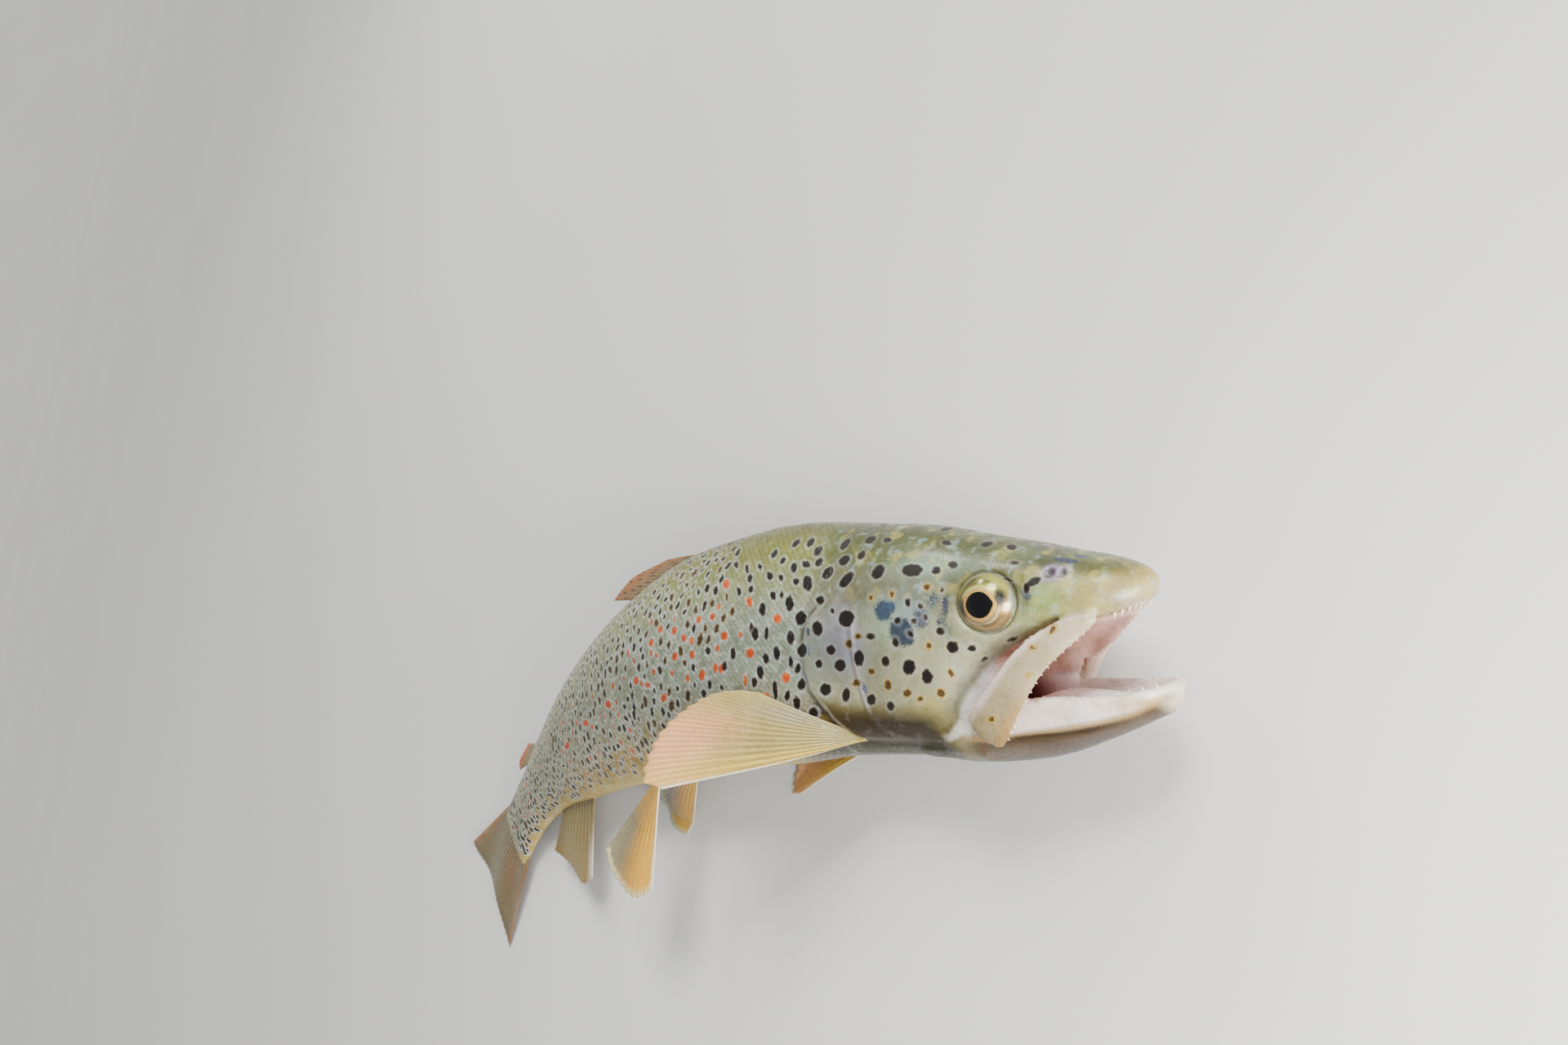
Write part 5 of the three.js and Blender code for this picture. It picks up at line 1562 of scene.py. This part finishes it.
def sheet_mesh(name, surface, thickness, rays, rows, columns):
    """A closed thin fin from a surface of u and v in the part's frame."""
    u, v = np.meshgrid(np.linspace(0, 1, rows), np.linspace(0, 1, columns), indexing="ij")
    u, v = u.ravel(), v.ravel()
    middle = surface(u, v)
    du = surface(np.minimum(u + NUDGE, 1), v) - surface(np.maximum(u - NUDGE, 0), v)
    dv = surface(u, np.minimum(v + NUDGE, 1)) - surface(u, np.maximum(v - NUDGE, 0))
    normal = np.cross(du, dv)
    normal /= np.maximum(np.linalg.norm(normal, axis=1), 1e-12)[:, None]
    ridge = ray_height(v, u, rays)
    border = np.minimum(np.minimum(v, 1 - v) * 24, (1 - u) * 30)
    half = thickness(u, v) * (0.66 + 0.34 * ridge) / 2 * np.sqrt(np.clip(border, 0.04, 1))
    offset = normal * half[:, None] * MM
    count = rows * columns
    faces = grid_faces(rows, columns)
    loop = grid_border(rows, columns)
    rim = [(a, a + count, b + count, b) for a, b in zip(loop, loop[1:] + loop[:1])]
    quads = np.vstack([faces, faces[:, ::-1] + count, np.array(rim)])
    made = quad_object(name, rest(np.vstack([middle + offset, middle - offset]), lowest=0.05), quads)
    add_vector(made, "fish", np.vstack([middle, middle]) * 1000)
    add_colour(made, "tint", fin_tint(name, np.tile(u, 2), np.tile(v, 2), np.tile(ridge, 2)))
    add_value(made, "ray", np.tile(ridge, 2))
    made.data.materials.append(fin_look)
    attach(made, "root")
    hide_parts(name.replace("_web", ""))


def fin_surface(shape):
    """A fan of rays from a root line: its directions back and across, and its rays' angles and lengths."""
    start, end = np.array(shape["root"], float)
    ahead, over = (np.array(shape[key], float) / np.linalg.norm(shape[key]) for key in ("back", "across"))
    bow = np.cross(ahead, over)
    length_at = profile(shape["lengths"])
    rays = max(shape["rays"], 1)

    def surface(u, v):
        turn = np.radians(shape["angles"][0] + (shape["angles"][1] - shape["angles"][0]) * v)
        notch = 0.018 * (1 - np.abs(np.cos(np.pi * rays * v))) * smooth(0.6, 1, u)
        reach = (length_at(v) * (1 - notch) + FIN_ROOT_SINK) * u - FIN_ROOT_SINK
        wave = shape["belly"] * np.sin(np.pi * v) * u * u + 0.5 * np.sin(6 * v + 4 * u) * u * u
        p = (start + (end - start) * v[:, None] + ahead * (reach * np.cos(turn))[:, None]
             + over * (reach * np.sin(turn))[:, None] + bow * wave[:, None])
        return rest(pose(p), FLOOR_CLEARANCE)

    return surface


TAIL_TRIM = 0.3
TAIL_RAYS = 19
TAIL_ROOT_HALF, TAIL_EDGE_HALF = 14.6, 30


def caudal_surface(u, v):
    """The tail fin, slightly forked, with a wave across it."""
    across = 2 * v - 1
    fork = 7 * (1 - across**2)
    start = STANDARD_LENGTH - 4
    notch = 0.6 * (1 - np.abs(np.cos(np.pi * TAIL_RAYS * v))) * smooth(0.6, 1, u)
    reach = TOTAL_LENGTH - TAIL_TRIM - fork - 2.5 * across**6 - notch - start
    spread = TAIL_ROOT_HALF + (TAIL_EDGE_HALF - TAIL_ROOT_HALF) * u**0.9
    wave = 0.7 * np.sin(5 * across + 3 * u) * u
    return rest(pose(np.stack([start + reach * u, across * spread, wave], 1)), FLOOR_CLEARANCE)


for name, shape in FINS.items():
    thick, rays = shape["thickness"], shape["rays"]
    sheet_mesh(name + "_web", fin_surface(shape),
               lambda u, v, thick=thick: thick[0] + (thick[1] - thick[0]) * np.sqrt(u),
               rays, 56 if rays else 20, rays * 12 + 1 if rays else 20)
sheet_mesh("caudal_fin_web", caudal_surface, lambda u, v: 3.0 + (0.5 - 3.0) * np.minimum(1, u * 1.5) ** 0.5
           - 1.6 * (1 - u) * (2 * v - 1) ** 2, TAIL_RAYS, 50, TAIL_RAYS * 12 + 1)


# ------------------------------------------------------------------------------------------
# Eyes, with a rim of skin round each
# ------------------------------------------------------------------------------------------
def eye_tint(x, y, r):
    """Colour over the eyeball: x ahead, y up, r from its axis, in millimetres."""
    px, py = x + 0.65, y + 0.75
    pupil = np.hypot(px, py) - 0.35 * bell((np.arctan2(py, px) - 0.05) / 0.3)

    def arc(at_x, reach, radius, width):
        return np.exp(-(((x - at_x) / reach) ** 2 + ((np.hypot(x, y) - radius) / width) ** 2))

    def blotch(at_x, at_y, reach, height):
        return np.exp(-((((x - at_x) / reach) ** 2 + ((y - at_y) / height) ** 2) ** 2))

    colour = layered(plain("b08c3c", x), [
        ("a9aa55", smooth(0, 3.5, y)),
        ("9c8052", 1 - smooth(-4.6, -1.5, y)),
        ("e0cfa8", bump(4.6, 0.5, pupil) * (1 - smooth(-1, 1, y)) * 0.8),
        ("6a6428", bump(5.3, 0.8, pupil) * smooth(-1, 1, y) * 0.9),
        ("e2dd84", bump(4.3, 0.5, pupil) * smooth(0, 2, y) * 0.8),
        ("b5cfc4", smooth(5.4, 6.6, x) * 0.8),
        ("1f2418", 0.95 * arc(-2.6, 2.6, 5.7, 0.55) * (y > 0)),
        ("3a3a1c", 0.8 * arc(1.5, 2.6, 4.9, 0.35) * (y > 0)),
        ("4a3416", 0.7 * arc(0.5, 3.4, 5.5, 0.4) * (y < 0)),
        ("16202c", 0.97 * blotch(4.3, 0.6, 1.35, 2.2)),
        ("12120c", 0.97 * blotch(-5.4, -1.5, 2.1, 2.6)),
        ("e0a24e", bump(3.5, 0.38, pupil)),
        ("f0d7a0", bump(3.75, 0.2, pupil) * 0.6),
        ("5c5330", smooth(6.0, 6.9, r) * 0.7),
        ("15120c", smooth(6.8, 7.2, r)),
        ("010101", 1 - smooth(3.05, 3.2, pupil))])
    iris = smooth(3.2, 3.45, pupil) * (1 - smooth(6.6, 7.0, r))
    return colour, iris


def make_eye(side, label):
    """The eyeball, its domed front painted with iris and pupil."""
    centre, ahead, up, out = eye_frame(side)
    lean = np.concatenate([np.linspace(0.004, 1.62, 110), np.linspace(1.7, 3.0, 10)])
    ll, tt = np.meshgrid(lean, 2 * np.pi * np.arange(240) / 240, indexing="ij")
    r = EYE["radius"] * np.sin(ll)
    x, y = r * np.cos(tt), r * np.sin(tt)
    bulge = EYE["depth"] * np.cos(ll)
    p = centre + ahead * x[..., None] + up * y[..., None] + out * bulge[..., None]
    points, faces = closed_loft(p)
    made = new_object(f"eyeball_{label}", pose(points), faces)
    xx, yy, rr = (np.append(values.ravel(), [0, 0]) for values in (x, y, r))
    tint, iris = eye_tint(xx, yy, rr)
    back = np.append(bulge.ravel(), [5, -5]) < -0.5
    tint[back] = rgb("2a241c")
    add_colour(made, "tint", tint)
    add_value(made, "iris", iris)
    add_vector(made, "fish", np.stack([xx, yy, rr * 0.3], 1))
    return made


eye_look = eye_material("eye_clear_wet")
for side, label in ((1, "right"), (-1, "left")):
    eye = make_eye(side, label)
    eye.data.materials.append(eye_look)
    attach(eye, "root")
    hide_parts(f"eye_{label}")


RIM_REACHES = (6.7, 6.95, 7.15, 7.4, 7.8, 8.3, 8.9, 9.6, 10.2)  # from the eye's axis, in millimetres


def make_eye_rims():
    """A smooth ring of skin from each eyeball out to the bare skin."""
    bodies = []
    tree = BVHTree.FromPolygons(straight.tolist(), face_points)
    for side in (1, -1):
        centre, ahead, up, out = eye_frame(side)
        turn = 2 * np.pi * np.arange(120) / 120
        ground = []
        for angle in turn:
            foot = centre + (ahead * math.cos(angle) + up * math.sin(angle)) * RIM_REACHES[-1]
            hit, _, _, _ = tree.ray_cast(Vector(foot + out * 9), Vector(-out))
            ground.append((np.array(hit) - centre) @ out if hit is not None else 1.0)
        ground = np.array(ground)
        rows = []
        for reach in RIM_REACHES:
            on_eye = EYE["depth"] * math.sqrt(max(0, 1 - (min(reach, 7.49) / EYE["radius"]) ** 2))
            lip = on_eye + 0.32 * math.exp(-((reach - 7.3) / 0.4) ** 2)
            share = float(smooth(7.2, 10.0, reach))
            level = lip * (1 - share) + (ground - 0.05 + 0.55 * (1 - share)) * share
            if reach == RIM_REACHES[0]:
                level = np.full_like(ground, on_eye - 0.25)
            if reach == RIM_REACHES[-1]:
                level = ground - 0.35
            rows.append(centre + (ahead * np.cos(turn)[:, None] + up * np.sin(turn)[:, None]) * reach
                        + out * level[:, None])
        faces = grid_faces(len(RIM_REACHES), len(turn), wrap=True)
        if side > 0:
            faces = faces[:, ::-1]
        bodies.append((np.array(rows).reshape(-1, 3), [tuple(f) for f in faces]))
    return joined(bodies)


rim_points, rim_faces = make_eye_rims()
rims = new_object("eye_rims", pose(rim_points), rim_faces)
rim_colour = vivid(trout_tint(rim_points))
for side in (1, -1):
    centre, _, _, out = eye_frame(side)
    r = np.linalg.norm(np.cross(rim_points - centre, out), axis=1)
    on = rim_points[:, 2] * side > 0
    rim_colour[on] = mixed(rim_colour, "2b2a20", (1 - smooth(7.0, 7.5, r)) * 0.8)[on]
    rim_colour[on] = mixed(rim_colour, "b0ad8a", bump(7.9, 0.6, r) * 0.4)[on]
paint_trout(rims, rim_points, rim_colour, np.ones(len(rim_points)))
rims.data.materials.append(bpy.data.materials["trout_wet_skin"])
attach(rims, "root")
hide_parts("head")


# ------------------------------------------------------------------------------------------
# Tongue and teeth
# ------------------------------------------------------------------------------------------
TONGUE_RISE = 3.4


def make_tongue():
    """A low tongue on the floor of the mouth, with a furrow along it."""
    rings = []
    for s in np.linspace(9, 50, 44):
        along = (s - 9) / 37
        width = 5.2 * math.sqrt(min(1, 0.1 + 3 * max(along, 0)))
        bottom = float(mouth_floor_at(s)) - 0.6
        top = bottom + 3.6 + TONGUE_RISE * float(bump(27, 20, s))
        ring = oval(s, top, bottom, width, bottom + 1.2, count=40)
        ring[:, 1] -= 0.4 * bell(ring[:, 2] / 0.9) * (ring[:, 1] > bottom + 1.2)
        rings.append(ring)
    return closed_loft(np.array(rings))


tongue_points, tongue_faces = make_tongue()
tongue = new_object("tongue_flesh", rest(pose(tongue_points)), tongue_faces)
add_vector(tongue, "fish", tongue_points)
add_colour(tongue, "tint", mixed(plain("fdf7f9", tongue_points), "efc6bb",
                                 smooth(24, 40, tongue_points[:, 0])))
tongue.data.materials.append(flesh_material("mouth_flesh"))
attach(tongue, "root")
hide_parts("tongue")


def tooth(foot, tip, radius, bend):
    """A small hooked tooth: rings that shrink towards the tip and lean back."""
    foot, tip, bend = (np.asarray(v, float) for v in (foot, tip, bend))
    axis = (tip - foot) / np.linalg.norm(tip - foot)
    across = np.cross(axis, [0.3, 0.2, 1.0])
    across /= np.linalg.norm(across)
    other = np.cross(axis, across)
    turn = 2 * np.pi * np.arange(8) / 8
    rings = []
    for t in np.linspace(0, 1, 6):
        centre = foot - axis * radius + (tip - foot + axis * radius) * t + bend * t**2
        size = radius * (1 - t) ** 0.7 + 0.04
        rings.append(centre + across * (size * np.cos(turn))[:, None]
                     + other * (size * np.sin(turn))[:, None])
    return closed_loft(np.array(rings))


def upper_teeth():
    """Teeth round the front of the upper jaw, then along each maxilla."""
    bodies = []
    for side in (-1, 1):
        for i in range(7):
            turn = math.radians(6 + 70 * i / 6)
            s = 8.6 - 6.4 * math.cos(turn)
            w = side * (float(half_width_at(s)) - 1.6) * min(1, math.sin(turn) + 0.02)
            y = float(palate_at(s)) + 0.4
            length = 1.15 * rng.uniform(0.7, 1.1)
            bodies.append(tooth((s, y, w), (s + 0.3, y - length, w * 0.97), 0.34, (0.35, 0, 0)))
        for i in range(16):
            t = 0.06 + 0.74 * i / 15
            s, y, w = float(maxilla_s(t)), float(maxilla_y(t)), float(maxilla_w(t))
            ahead = np.array([float(maxilla_s(t + 0.01)) - s, float(maxilla_y(t + 0.01)) - y])
            ahead /= np.linalg.norm(ahead)
            front = np.array([ahead[1], -ahead[0]])
            edge = np.array([s, y]) + front * (float(breadth_at(t)) - 0.45)
            tip = edge + front * 0.5
            bodies.append(tooth((*edge, side * (w - 0.3)), (*tip, side * (w - 0.5)), 0.24,
                                (0.15, -0.05, -0.1 * side)))
    return joined(bodies)


def lower_teeth():
    """Teeth along the wall of the lower jaw, longest in front."""
    bodies = []
    for side in (-1, 1):
        for i in range(11):
            s = 1.2 + 24 * i / 10
            half = float(jaw_half_width_at(s))
            inset = 1 - 0.6 * JAW_WALL / half
            w = side * half * inset
            y = float(rim_at(s)) - JAW_RIM_ROUNDING * (1 - math.sqrt(1 - inset**2)) - 0.2
            length = (1.0 if s < 9 else 0.32) * rng.uniform(0.75, 1.1)
            bodies.append(tooth((s, y, w), (s + 0.3, y + length, w * 0.97), 0.32, (0.4, 0, -0.1 * side)))
    return joined(bodies)


tooth_look = tooth_material("tooth_enamel")
for name, made, node in (("teeth_upper", upper_teeth(), "head"), ("teeth_lower", lower_teeth(), "lower_jaw")):
    teeth = new_object(name, pose(made[0]), made[1])
    add_vector(teeth, "fish", made[0])
    teeth.data.materials.append(tooth_look)
    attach(teeth, "root")
    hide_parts(node)


# ------------------------------------------------------------------------------------------
# Stage
# ------------------------------------------------------------------------------------------
FLOOR_FRONT, FLOOR_HALF_WIDTH = 9.0, 14.4
BACKDROP_FOOT, BACKDROP_RADIUS, BACKDROP_TOP = -4.0, 3, 9.0


def make_stage():
    """A wide pale floor that turns up far behind the fish."""
    outline = [(FLOOR_FRONT, 0.0), (BACKDROP_FOOT, 0.0)]
    for i in range(1, 13):
        angle = math.pi / 2 * i / 12
        outline.append((BACKDROP_FOOT - BACKDROP_RADIUS * math.sin(angle),
                        BACKDROP_RADIUS * (1 - math.cos(angle))))
    outline.append((BACKDROP_FOOT - BACKDROP_RADIUS, BACKDROP_TOP))
    points = [(x, y, z) for x, z in outline for y in (-FLOOR_HALF_WIDTH, FLOOR_HALF_WIDTH)]
    faces = [(2 * i, 2 * i + 1, 2 * i + 3, 2 * i + 2) for i in range(len(outline) - 1)]
    floor = new_object("studio_floor", points, faces)
    n = Nodes("studio_paper")
    where = n.put("ShaderNodeTexCoord").outputs["Object"]
    fleck = n.noise(where, 3.0, 3.0)
    colour = n.mix(n.step(fleck, 0.3, 0.7), (0.62, 0.62, 0.6), (0.65, 0.65, 0.635))
    floor.data.materials.append(n.shade(colour, n.relief(n.noise(where, 900.0, 2.0), 0.05, 0.0002), 0.75))


def lamp(name, kind, power, colour, turned):
    """A light in the scene."""
    data = bpy.data.lights.new(name, kind)
    data.energy = power
    data.color = colour
    linked(name, data).matrix_world = turned
    return data


def area_light(name, at, to, size, power, colour):
    """A square light of this size in metres, aimed at a point."""
    aim = (Vector(to) - Vector(at)).to_track_quat("-Z", "Y")
    data = lamp(name, "AREA", power, colour, Matrix.Translation(Vector(at)) @ aim.to_matrix().to_4x4())
    data.shape = "RECTANGLE"
    data.size = data.size_y = size


make_stage()
SUN_DIRECTION = Vector((0.2, 0.8, 0.75))
sun = lamp("key", "SUN", 3.3, (1.0, 0.98, 0.93), SUN_DIRECTION.to_track_quat("Z", "Y").to_matrix().to_4x4())
sun.angle = math.radians(24)
area_light("glint", (0.42, 0.62, 0.62), (0.08, 0.02, 0.03), 0.08, 2.0, (1.0, 0.99, 0.96))
area_light("glint_back", (-0.25, 0.75, 0.45), (-0.05, 0.02, 0.03), 0.12, 2.5, (1.0, 0.99, 0.96))
area_light("front", (0.46, 0.0, 0.13), (0.15, -0.02, 0.03), 0.16, 3.2, (1.0, 0.97, 0.96))
area_light("fill", (1.0, -0.1, 0.55), (0.1, 0, 0.02), 0.9, 7, (0.96, 0.97, 1.0))
world = bpy.data.worlds.new("soft_sky")
world.use_nodes = True
world.node_tree.nodes["Background"].inputs["Color"].default_value = (0.86, 0.9, 0.95, 1)
world.node_tree.nodes["Background"].inputs["Strength"].default_value = 0.33
bpy.context.scene.world = world
